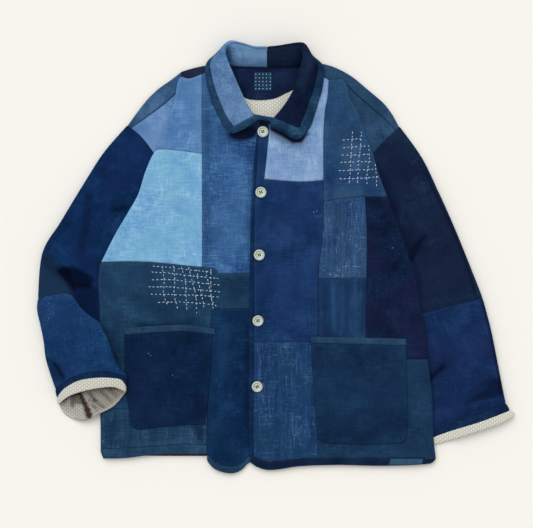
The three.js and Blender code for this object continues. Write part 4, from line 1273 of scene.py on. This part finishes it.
flatTube = {"height": growing("upper", "upper"), "base": onFloor, "pinch": 1}
rightElbow = [[-428.5, -74], [-399, -67], [-370, -66], [-346, -98], [-318, -119]]
rightWrist = [[-397, -236], [-374, -220], [-345, -208], [-308, -203], [-267, -211]]
rightWristUnder = [[-397, -236], [-365, -246], [-335, -246], [-300, -235], [-267, -211]]
rightCuffLine = [
    [-394, -252], [-380, -235], [-352, -220], [-316, -214.5], [-290, -215.5], [-276, -218.5], [-268, -229],
]
rightCuffUnder = [[-394, -252], [-368, -262], [-336, -260], [-300, -248], [-268, -229]]
rightLip = [[-392, -264], [-374, -250], [-348, -240], [-316, -233], [-288, -231.5], [-268, -240]]
rightLipUnder = [
    [-392, -264], [-384, -280], [-367, -291], [-342, -293.5], [-318, -281], [-290, -266], [-268, -240],
]
leftElbow = [[372, -73], [312, -88], [253, -104]]
leftWrist = [[413.5, -262], [370, -278], [324, -295], [276, -313]]
leftCuffLine = [[421, -275], [371, -294], [324, -309], [276, -327]]
leftLip = [[429.5, -284], [408, -296.5], [372, -309.5], [334, -321.5], [304, -332], [278, -339]]
leftLipUnder = [[429.5, -284], [408, -297], [372, -310], [334, -322], [304, -332.5], [278, -339]]

upperRight = {
    "node": "sleeve_right_upper",
    "cloth": "sleeveNavy",
    "start": [[-268, 238.5], [-238, 214], [-211.5, 179]],
    "end": rightElbow,
    "outer": [[-310.5, 189], [-347, 131.5], [-387.5, 64.5], [-420.5, 8]],
    "inner": [[-226, 148], [-240, 110], [-258, 76], [-281, 36], [-309, -13], [-311, -60]],
    "height": fromArmhole,
    "base": onFloor,
    "pinch": 1,
    "swell": 3.0,
    "folds": [
        ([(-336, 140), (-338, 82), (-348, 30), (-355, -8)], 9, -3.2),
        ([(-352, 120), (-358, 70), (-372, 20)], 12, 1.6),
        ([(-316, 110), (-318, 60), (-328, 10)], 9, 1.8),
        ([(-300, 84), (-282, 88), (-262, 90)], 6, -2.2),
        ([(-290, 60), (-276, 66), (-262, 72)], 7, 1.4),
        ([(-426, -8), (-388, -18), (-352, -22), (-322, -34)], 8, 2.6),
        ([(-392, -22), (-366, -32), (-345, -38), (-326, -44)], 12, -3.2),
        ([(-408, -14), (-386, -42), (-362, -62)], 7, 1.6),
        ([(-330, -10), (-322, -50), (-318, -90)], 8, 1.4),
        ([(-386, 40), (-396, 10), (-404, -10)], 9, 1.2),
    ],
    "shaded": [
        ([(-336, 140), (-338, 82), (-348, 30), (-355, -8)], 9, 0.45),
        ([(-302, 84), (-282, 88), (-258, 90)], 5, 0.6),
        ([(-300, 20), (-310, -4), (-316, -40)], 7, 0.4),
    ],
    "shadedWedges": [
        ([(-394, -23), (-382, -17), (-364, -15), (-340, -29), (-327, -38), (-335, -54), (-362, -54),
          (-380, -40)], 4, 0.85),
        ([(-426, 2), (-406, 10), (-374, -18), (-362, -60), (-392, -38), (-418, -16)], 7, 0.4),
        ([(-374, -49), (-334, -50), (-318, -56), (-316, -118), (-343, -102), (-366, -72)], 8, 0.62),
    ],
    # painted light on the cloth turned over at the elbow
    "fadedAndLitWedges": [
        ([(-436, 6), (-404, 8), (-398, -12), (-386, -32), (-362, -54), (-366, -70), (-399, -72),
          (-436, -80)], 3, 0.85),
    ],
}
forearmRight = {
    "node": "sleeve_right_lower",
    "cloth": "sleeveSpeckled",
    "start": [*rightElbow[:3], [-344.4, -96.2], [-316.2, -116.2]],  # laps the upper part where it rises
    "end": rightWrist,
    "endUnder": rightWristUnder,
    "outer": [[-430, -94], [-423.5, -124], [-418, -152], [-413.5, -185]],
    "inner": [[-304, -141], [-283, -192]],
    "height": growing("upper", "forearm"),
    "base": overBody,
    "swell": 2.6,
    "rests": ["front_right_teal_patch", "pocket_right"],
    "folds": [
        ([(-412, -178), (-396, -196), (-380, -216)], 6, -3.0),
        ([(-398, -172), (-384, -190), (-366, -208)], 6, 1.6),
        ([(-404, -100), (-392, -140), (-388, -180)], 9, 1.2),
        ([(-356, -100), (-340, -150), (-320, -190)], 10, 1.2),
        ([(-344, -84), (-322, -128), (-300, -160)], 6, -1.2),
    ],
    "shaded": [
        ([(-404, -184), (-392, -198), (-377, -222)], 4, 0.8),
        ([(-296, -160), (-284, -185), (-272, -208)], 6, 0.4),
    ],
    "shadedWedges": [
        ([(-416, -180), (-404, -184), (-392, -200), (-380, -222), (-398, -222), (-408, -204)], 5, 0.45)
    ],
}
cuffRight = {
    "node": "cuff_right_binding",
    "cloth": "cuffBinding",
    "start": rightWrist,
    "end": rightCuffLine,
    "startUnder": rightWristUnder,
    "endUnder": rightCuffUnder,
    "outer": [[-396, -244]],
    "inner": [[-267, -219]],
    "height": growing("forearm", "wrist"),
    "base": overBody,
    "rests": ["pocket_right"],
}
lipRight = {
    "node": "cuff_right_lining",
    "dim": 0.16,
    "start": rightCuffLine,
    "end": rightLip,
    "startUnder": rightCuffUnder,
    "endUnder": rightLipUnder,
    "outer": [[-393.5, -258]],
    "inner": [[-268, -234]],
    "height": growing("wrist", "cuff"),
    "base": overBody,
    "innerFolds": [
        ([(-352, -236), (-340, -262), (-326, -300)], 4, 4.0),
        ([(-364, -236), (-358, -262), (-350, -300)], 5, 2.0),
        ([(-336, -228), (-318, -252), (-300, -278)], 4, 2.5),
        ([(-368, -236), (-376, -262), (-384, -290)], 4, 2.0),
        ([(-326, -230), (-300, -242), (-278, -258)], 4, 1.8),
    ],
    "shaded": [
        ([(-386, -263), (-380, -255), (-373, -251)], 3, 0.35),
        ([(-340, -250), (-330, -264), (-318, -280)], 1.6, 0.35),
        ([(-338, -240), (-330, -250), (-322, -262)], 3, 0.3),
        ([(-330, -252), (-318, -262), (-304, -272)], 2.6, 0.3),
        ([(-318, -236), (-306, -248), (-292, -262)], 3, 0.25),
        ([(-302, -234), (-292, -244), (-282, -254)], 3, 0.2),
        ([(-400, -262), (-360, -243), (-316, -233), (-262, -236)], 3.5, 0.35),
    ],
    "shadedWedges": [
        ([(-344, -236), (-300, -226), (-262, -230), (-286, -262), (-318, -288), (-332, -264)], 5, 0.16),
        ([(-371, -242), (-371, -268), (-366, -271), (-360, -263), (-352, -266), (-346, -258),
          (-352, -240)], 3, 0.4),
        ([(-355, -240), (-350, -243), (-342, -257), (-334, -271), (-330, -282), (-334, -290),
          (-341, -288), (-347, -266)], 2.4, 1.0),
    ],
    "lit": [
        ([(-266, -240), (-274, -250), (-291, -267.5), (-318, -280), (-326, -289)], 3.2, 0.3),
        ([(-392, -262), (-387, -276), (-374, -287), (-358, -292)], 7, 0.16),
    ],
}
upperLeft = {
    "node": "sleeve_left_upper",
    "cloth": "sleeveDark",
    "start": [[222.5, 236.8], [194, 210], [165.5, 181]],
    "end": leftElbow,
    "outer": [[262.5, 180.5], [291.5, 120.5], [316, 66], [338.5, 12]],
    "inner": [[176, 150], [192, 107], [208, 63], [232, -5], [244, -45]],
    "height": fromArmhole,
    "base": onFloor,
    "pinch": 1,
    "swell": 2.6,
    "folds": [
        ([(272, 42), (256, 22), (240, -8)], 6, -3.4),
        ([(282, 30), (270, 10), (258, -14)], 8, 1.6),
        ([(236, 150), (250, 120), (256, 80)], 12, 1.2),
        ([(300, 60), (320, 0), (334, -50)], 12, 1.2),
        ([(222, 110), (226, 90), (224, 70)], 7, -1.2),
    ],
    "shaded": [
        ([(252, 187), (295, 97), (320, 44), (344.5, -20), (371, -110)], 3, 0.8),
        ([(186, 170), (200, 140), (214, 100), (222, 66)], 7, 0.4),
        ([(274, 46), (258, 24), (240, -8)], 8, 0.4),
        ([(178, 190), (190, 150), (206, 106), (222, 62), (246, -3), (258, -42), (267, -110)], 3, 0.6),
        ([(228, 60), (240, 34), (248, 6)], 8, 0.5),
        ([(198, 180), (222, 160), (250, 130)], 14, 0.25),
    ],
    "shadedWedges": [([(234, -8), (241, 12), (256, 33), (267, 39), (261, 20), (247, -8)], 3, 0.6)],
}
forearmLeft = {
    "node": "sleeve_left_lower",
    "cloth": "sleeveBlue",
    "start": leftElbow,
    "end": leftWrist,
    "outer": [[386.5, -128], [397.5, -182], [407, -231]],
    "inner": [[262, -134], [265, -183], [273, -249]],
    **flatTube,
    "swell": 2.6,
    "folds": [
        ([(276, -232), (290, -214), (312, -200)], 6, -3.0),
        ([(284, -246), (302, -230), (322, -216)], 7, 1.6),
        ([(346, -262), (366, -238), (394, -218)], 7, -2.6),
        ([(352, -246), (372, -222), (398, -204)], 7, 1.6),
        ([(320, -150), (324, -200), (318, -250)], 12, 1.3),
        ([(276, -290), (300, -284), (330, -270)], 7, 1.2),
    ],
    "shaded": [
        ([(270, -228), (284, -212), (308, -190)], 4.5, 0.9),
        ([(276, -150), (278, -220), (282, -300)], 7, 0.5),
        ([(410, -258), (368, -273), (322, -290), (276, -308)], 9, 0.3),
        ([(360, -40), (382, -122), (394, -182), (403, -231), (409, -290)], 3, 0.7),
    ],
    "shadedWedges": [
        ([(340, -262), (352, -252), (376, -234), (392, -216), (403, -220), (406, -246), (390, -252),
          (364, -258)], 3.5, 0.7),
        ([(300, -170), (320, -180), (322, -214), (300, -226), (286, -206)], 9, 0.25),
    ],
}
cuffLeft = {
    "node": "cuff_left_binding",
    "cloth": "cuffBinding",
    "start": leftWrist,
    "end": leftCuffLine,
    "outer": [[418, -269]],
    "inner": [[276, -320]],
    **flatTube,
}
lipLeft = {
    "node": "cuff_left_lining",
    "dim": 0.08,
    "start": leftCuffLine,
    "end": leftLip,
    "endUnder": leftLipUnder,
    "outer": [[428, -277.5]],
    "inner": [[276.5, -330]],
    **flatTube,
}
for tube in (upperRight, forearmRight, cuffRight, upperLeft, forearmLeft, cuffLeft):
    sleevePiece(tube)
liningPiece(lipRight, cuffRight, forearmRight)
liningPiece(lipLeft, cuffLeft, forearmLeft)
print("sleeves made")

# Thread and buttons


def cottonThread(name, colour, dark):
    # Soft matt cotton of a few strands: a pale twist with darker lines between the strands.
    material = newMaterial(name)
    place = addNode(material, "ShaderNodeTexCoord", {}, {}).outputs["Object"]
    twist = addNode(material, "ShaderNodeTexNoise", {}, {"Vector": place, "Scale": 900.0, "Detail": 1.0})
    body = addNode(material, "ShaderNodeValToRGB", {}, {"Fac": twist.outputs[0]})
    setRamp(body, [(0.35, dark), (0.55, colour)])
    finish = {"Base Color": body.outputs[0], "Roughness": 0.85, "Specular IOR Level": 0.2}
    shader = addNode(material, "ShaderNodeBsdfPrincipled", {}, finish)
    addNode(material, "ShaderNodeOutputMaterial", {}, {"Surface": shader.outputs[0]})
    return material


def stitches(name, material, starts, ends, level, width, arch=0.5):
    # Short threads: each is a six-sided bar from its start to its end that bows up by `arch` as a half
    # wave of a sine, thins to its ends and dips into the cloth there.
    starts, ends = np.array(starts, float), np.array(ends, float)
    rings, around = 5, 6
    t = np.linspace(0, 1, rings)[None, :, None]
    turn = np.linspace(0, 2 * np.pi, around, endpoint=False)[None, None, :]
    along = ends - starts
    side = np.stack([-along[:, 1], along[:, 0]], 1) / np.linalg.norm(along, axis=1, keepdims=True)
    bow = np.sin(np.pi * t)
    radius = width / 2 * (0.45 + 0.55 * np.sqrt(bow))
    middle = starts[:, None, None, :] + along[:, None, None, :] * t[..., None]
    plan = middle + side[:, None, None, :] * (radius * np.cos(turn))[..., None]
    z = level(middle[..., 0], middle[..., 1]) + arch * bow - 0.15 + radius * 0.7 * np.sin(turn)
    places = np.concatenate([plan, z[..., None]], axis=-1).reshape(-1, 3)
    ring = np.arange(rings * around).reshape(rings, around)
    nextRing = np.roll(ring, -1, 1)
    quads = np.stack([ring[:-1], nextRing[:-1], nextRing[1:], ring[1:]], axis=-1).reshape(-1, 4)
    offset = (np.arange(len(starts)) * rings * around)[:, None, None]
    caps = np.stack([ring[0, ::-1], ring[-1]])[None] + offset
    makePiece(name, None, material, places, [(quads[None] + offset).reshape(-1, 4), caps.reshape(-1, around)])


def runningRow(points, pitch, length, wander, seed):
    # Starts and ends of the stitches of one sewn row, each a little off its place.
    random = np.random.default_rng(seed)
    line = through(points, np.linspace(0, 1, 80))
    run = np.concatenate([[0], np.cumsum(np.hypot(*np.diff(line, axis=0).T))])
    first = np.arange(random.uniform(0, pitch / 2), run[-1] - length * 0.7, pitch)
    first = first + random.normal(0, wander, len(first))
    last = first + length * random.uniform(0.8, 1.12, len(first))

    def at(s):
        return np.stack([np.interp(s, run, line[:, 0]), np.interp(s, run, line[:, 1])], 1)

    drift = random.normal(0, wander * 0.5, (2, len(first), 2))
    return at(first) + drift[0], at(last) + drift[1]


def sewnGrid(name, rows, level, material, pitch, length, width, wander=0.5):
    made = [runningRow(points, pitch, length, wander, 40 + i) for i, points in enumerate(rows)]
    starts, ends = (np.concatenate([row[i] for row in made]) for i in (0, 1))
    stitches(name, material, starts, ends, level, width)


whiteThread = cottonThread("whiteSashikoCotton", "#cddcea", "#a3b8cb")
paleBlueThread = cottonThread("paleBlueCotton", "#86a4c8", "#6888b0")
darkThread = cottonThread("darkButtonThread", "#1a2233", "#0a0e18")


def onTopOf(under, wall):
    return lambda x, y: under(x, y) + wall


overRightFront, overLeftFront = onTopOf(rightLevel, cut["wall"]), onTopOf(leftLevel, cut["wall"])
overRightPocket = onTopOf(overRight, rightPocket["wall"])
rightSashiko = {
    "rows": [
        [(-224, -15), (-190, -18), (-150, -23), (-108, -27)],
        [(-228, -26), (-196, -28), (-150, -33), (-102, -38)],
        [(-226, -40), (-190, -40), (-150, -44), (-98, -50)],
        [(-232, -53), (-190, -53), (-150, -57), (-100, -62)],
        [(-226, -66), (-180, -67), (-140, -68), (-99, -72)],
        [(-214, -81), (-180, -80), (-140, -82), (-106, -86)],
    ],
    "columns": [
        [(-206, -12), (-201, -40), (-202, -66), (-193, -90)],
        [(-185, -12), (-182, -40), (-183, -66), (-176, -96)],
        [(-171, -15), (-163, -42), (-162, -70), (-160, -98)],
        [(-158, -16), (-151, -42), (-144, -70), (-143, -100)],
        [(-143, -18), (-139, -46), (-133, -70), (-129, -94)],
        [(-127, -20), (-122, -46), (-117, -70), (-113, -92)],
        [(-117, -18), (-117, -50), (-116, -74), (-106, -90)],
    ],
}
leftSashiko = {
    "rows": [
        [(118, 211), (140, 213), (160, 213)],
        [(117, 197), (140, 199), (166, 201)],
        [(116, 184), (140, 184), (170, 186)],
        [(113, 171), (140, 172), (172, 173)],
        [(112, 156), (140, 157), (178, 159)],
        [(112, 142), (140, 142), (184, 145)],
    ],
    "columns": [
        [(138, 230), (136, 200), (134, 165), (132, 130)],
        [(154, 230), (152, 200), (148, 165), (147, 130)],
        [(166, 204), (168, 180), (164, 155), (163, 130)],
        [(178, 170), (180, 150), (181, 128)],
    ],
}
sashiko = {"pitch": 7.4, "length": 4.3, "width": 1.25}
for name, grid, over in (
    ("sashikoRight", rightSashiko, overRightFront),
    ("sashikoLeft", leftSashiko, overLeftFront),
):
    sewnGrid(name, grid["rows"] + grid["columns"], over, whiteThread, **sashiko)

# Small mends: a few pale stitches, and a fine broken row across the column patch
mends = {
    "left": [[(66, 81), (70, 82)], [(72, 82), (75, 85)], [(110, 101), (112, 98)], [(208, 16), (211, 18)]],
    "right": [[(-231, -172), (-228, -173)], [(-226, -176), (-224, -177)], [(-187, -212), (-185, -211)]],
}
for side, over in (("left", overLeftFront), ("right", overRightPocket)):
    starts, ends = [[line[i] for line in mends[side]] for i in (0, 1)]
    stitches("mends_" + side, paleBlueThread, starts, ends, over, width=0.8, arch=0.3)
fineRow = [[(-131, 186), (-104, 185), (-72, 186)]]
sewnGrid("fineRow", fineRow, overRightFront, paleBlueThread, pitch=4.6, length=2.6, width=0.6, wander=0.4)
print("stitches made")

# The label's plain woven figure: small crosses in rows
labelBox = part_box("neck_label")
labelMiddle = [(labelBox[0][i] + labelBox[1][i]) * 500 for i in (0, 1)]
labelTop = labelBox[1][2] * 1000
crossPitch = 6.5
steps = [crossPitch * i for i in (-2, -1, 0, 1, 2)]
crossSpots = [(labelMiddle[0] + across, labelMiddle[1] + up) for across in steps for up in steps]
armLength = 1.2
starts = [(x - armLength, y) for x, y in crossSpots] + [(x, y - armLength) for x, y in crossSpots]
ends = [(x + armLength, y) for x, y in crossSpots] + [(x, y + armLength) for x, y in crossSpots]
stitches("labelCrosses", whiteThread, starts, ends, constant(labelTop), width=0.8, arch=0.2)

# Buttons: a turned disc, its dish and raised rim a profile carried round, with four holes sunk in it

button = {
    "radius": 9.9,
    "height": 3.0,
    "rim": 3.2,  # width of the raised rim
    "slope": 1.0,  # width of the dish's rise to it
    "dish": 1.3,
    "hole": 1.25,
    "spread": 1.6,  # of the holes, each way from the middle
    "pit": 1.5,
    "around": 96,
}


def pearlShell():
    # Polished mother-of-pearl: pale grey-green shell whose layers shine cream, rose and blue in turn,
    # with a thin clear lustre on top, painted olive shade in the groove inside the rim, and painted
    # shade in the holes and on one side of the rim.
    material = newMaterial("motherOfPearl")
    place = addNode(material, "ShaderNodeTexCoord", {}, {}).outputs["Object"]
    wavy = {"Vector": place, "Scale": 95.0, "Detail": 2.0, "Distortion": 0.8}
    layers = addNode(material, "ShaderNodeTexNoise", {}, wavy)
    body = addNode(material, "ShaderNodeValToRGB", {}, {"Fac": layers.outputs[0]})
    setRamp(body, [(0.3, "#9db6cb"), (0.44, "#c6d6d4"), (0.56, "#ccd6c7"), (0.7, "#ccbeab")])
    colour = body.outputs[0]
    for label, over in (("wearAndLight", "#96904f"), ("shade", "#27303a")):  # painted shade in the groove, then painted shade in the holes and on one side of the rim
        amount = addNode(material, "ShaderNodeAttribute", {"attribute_name": label}, {}).outputs["Fac"]
        inputs = {0: amount, 6: colour, 7: linear(over)}
        colour = addNode(material, "ShaderNodeMix", {"data_type": "RGBA"}, inputs).outputs[2]
    finish = {"Base Color": colour, "Roughness": 0.25, "IOR": 1.53, "Coat Weight": 0.4, "Coat Roughness": 0.1}
    shader = addNode(material, "ShaderNodeBsdfPrincipled", {}, finish)
    addNode(material, "ShaderNodeOutputMaterial", {}, {"Surface": shader.outputs[0]})
    return material


def buttonPiece(node, material, turn):
    # A profile carried round: a flat dish, its rise as a square, a half-round rim whose outer half runs
    # down to the foot, and a flat foot. The four holes are sunk into the dish, each with an eased edge.
    (lowX, lowY, low), (highX, highY, _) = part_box(node)
    cx, cy, base = (lowX + highX) * 500, (lowY + highY) * 500, low * 1000
    radius, rim, tall, spread = (button[key] for key in ("radius", "rim", "height", "spread"))
    dishTop, dishEdge, slopeStart = tall - button["dish"], radius - rim, radius - rim - button["slope"]
    centre, roundTop = 0.02, 0.9
    dish, rise, arc = np.linspace(centre, slopeStart, 22), np.linspace(0.12, 1, 6), np.linspace(0, np.pi, 14)
    rimEdge, shoulder = radius - rim / 2 - rim / 2 * np.cos(arc), tall - roundTop
    r = np.concatenate([dish, slopeStart + rise, rimEdge, [dishEdge, centre]])
    rimTop = np.where(arc < np.pi / 2, shoulder + roundTop * np.sin(arc), shoulder * np.sin(arc))
    z = np.concatenate([np.full(len(dish), dishTop), dishTop + 0.4 * rise**2, rimTop, [0, 0]])
    angle = np.linspace(0, 2 * np.pi, button["around"], endpoint=False)
    x, y, z = r[:, None] * np.cos(angle), r[:, None] * np.sin(angle), np.repeat(z[:, None], len(angle), 1)
    pit = np.zeros_like(z)
    for sx, sy in ((1, 1), (1, -1), (-1, 1), (-1, -1)):
        away = np.hypot(x - sx * spread, y - sy * spread)
        pit = np.maximum(pit, ease(button["hole"] + 0.25, button["hole"] - 0.3, away))
    pit[len(dish):] = 0
    turned = angle + math.radians(turn)
    z = base + z - button["pit"] * pit
    grid = np.stack([cx + r[:, None] * np.cos(turned), cy + r[:, None] * np.sin(turned), z], axis=-1)
    number = np.arange(z.size).reshape(z.shape)
    caps = np.stack([number[0], number[-1, ::-1]])
    faces = squares(np.concatenate([number, number[:, :1]], axis=1))
    groove = ease(dishEdge - 2.2, dishEdge - 0.9, r) * ease(dishEdge + 0.9, dishEdge, r)
    groove[len(dish) + len(rise) + 8 :] = 0  # none on the outside of the rim
    wearAndLight = groove[:, None] * (0.62 + 0.38 * np.cos(turned - 2.5))  # painted shade in the groove, deepest up and to the left
    # painted shade: the rim darker and bluer on one side, and the holes dark
    rimShade = ease(dishEdge + 0.4, radius - 0.4, r)[:, None] * (0.17 + 0.17 * np.sin(turned + 0.6))
    shade = (pit + rimShade).ravel()
    makePiece(node + "_turned", node, material, grid.reshape(-1, 3), [faces, caps], wearAndLight.ravel(), shade)
    c, s = math.cos(math.radians(turn)), math.sin(math.radians(turn))
    starts, ends = (
        [(cx + spread * (sx * c - sy * s), cy + spread * (sx * s + sy * c)) for sx in (-1, 1)]
        for sy in (-1, 1)
    )
    inDish = constant(base + dishTop - 0.2)
    stitches(node + "_thread", darkThread, starts, ends, inDish, width=1.5, arch=0.8)


pearl = pearlShell()
for i, turn in enumerate((14, 24, 20, 8, 30)):  # degrees that each was sewn on turned
    buttonPiece(f"button_{i + 1}", pearl, turn)
print("buttons made")

# Camera, light and floor

view = {"sensor": 36, "lens": 100, "centre": (-17.1, -11.7), "width": 959.4, "above": 8}
camera = bpy.data.cameras.new("camera")
camera.sensor_width = view["sensor"]
camera.lens = view["lens"]
cameraObject = bpy.data.objects.new("camera", camera)
distance = view["width"] * view["lens"] / view["sensor"] + view["above"]  # straight above the jacket
cameraObject.location = (view["centre"][0] / 1000, view["centre"][1] / 1000, distance / 1000)
bpy.context.scene.collection.objects.link(cameraObject)
bpy.context.scene.camera = cameraObject

# The light falls from the collar's side, and a little from the left
lights = {"sky": 0.68, "sun": 1.4, "sunSize": 50, "tilt": (-34, -14)}
sun = bpy.data.lights.new("softSun", "SUN")
sun.energy = lights["sun"]
sun.angle = math.radians(lights["sunSize"])
sunObject = bpy.data.objects.new("softSun", sun)
sunObject.rotation_euler = (math.radians(lights["tilt"][0]), math.radians(lights["tilt"][1]), 0)
bpy.context.scene.collection.objects.link(sunObject)
world = bpy.data.worlds.new("paleRoom")
world.use_nodes = True
world.node_tree.nodes["Background"].inputs["Color"].default_value = linear("#fbfaf7")
world.node_tree.nodes["Background"].inputs["Strength"].default_value = lights["sky"]
bpy.context.scene.world = world
bpy.context.scene.view_settings.view_transform = "Standard"

floorMaterial = newMaterial("palePaintedFloor")
floorShader = addNode(
    floorMaterial,
    "ShaderNodeBsdfPrincipled",
    {},
    {"Base Color": linear("#f6f4ef"), "Roughness": 0.95, "Specular IOR Level": 0.1},
)
addNode(floorMaterial, "ShaderNodeOutputMaterial", {}, {"Surface": floorShader.outputs[0]})
floorMesh = bpy.data.meshes.new("floor")
reach, below = 4, -0.0006  # metres: the floor is just under the cloth
floorCorners = [(x * reach, y * reach, below) for x, y in ((-1, -1), (1, -1), (1, 1), (-1, 1))]
floorMesh.from_pydata(floorCorners, [], [(0, 1, 2, 3)])
floorMesh.materials.append(floorMaterial)
floor = bpy.data.objects.new("floor", floorMesh)
bpy.context.scene.collection.objects.link(floor)
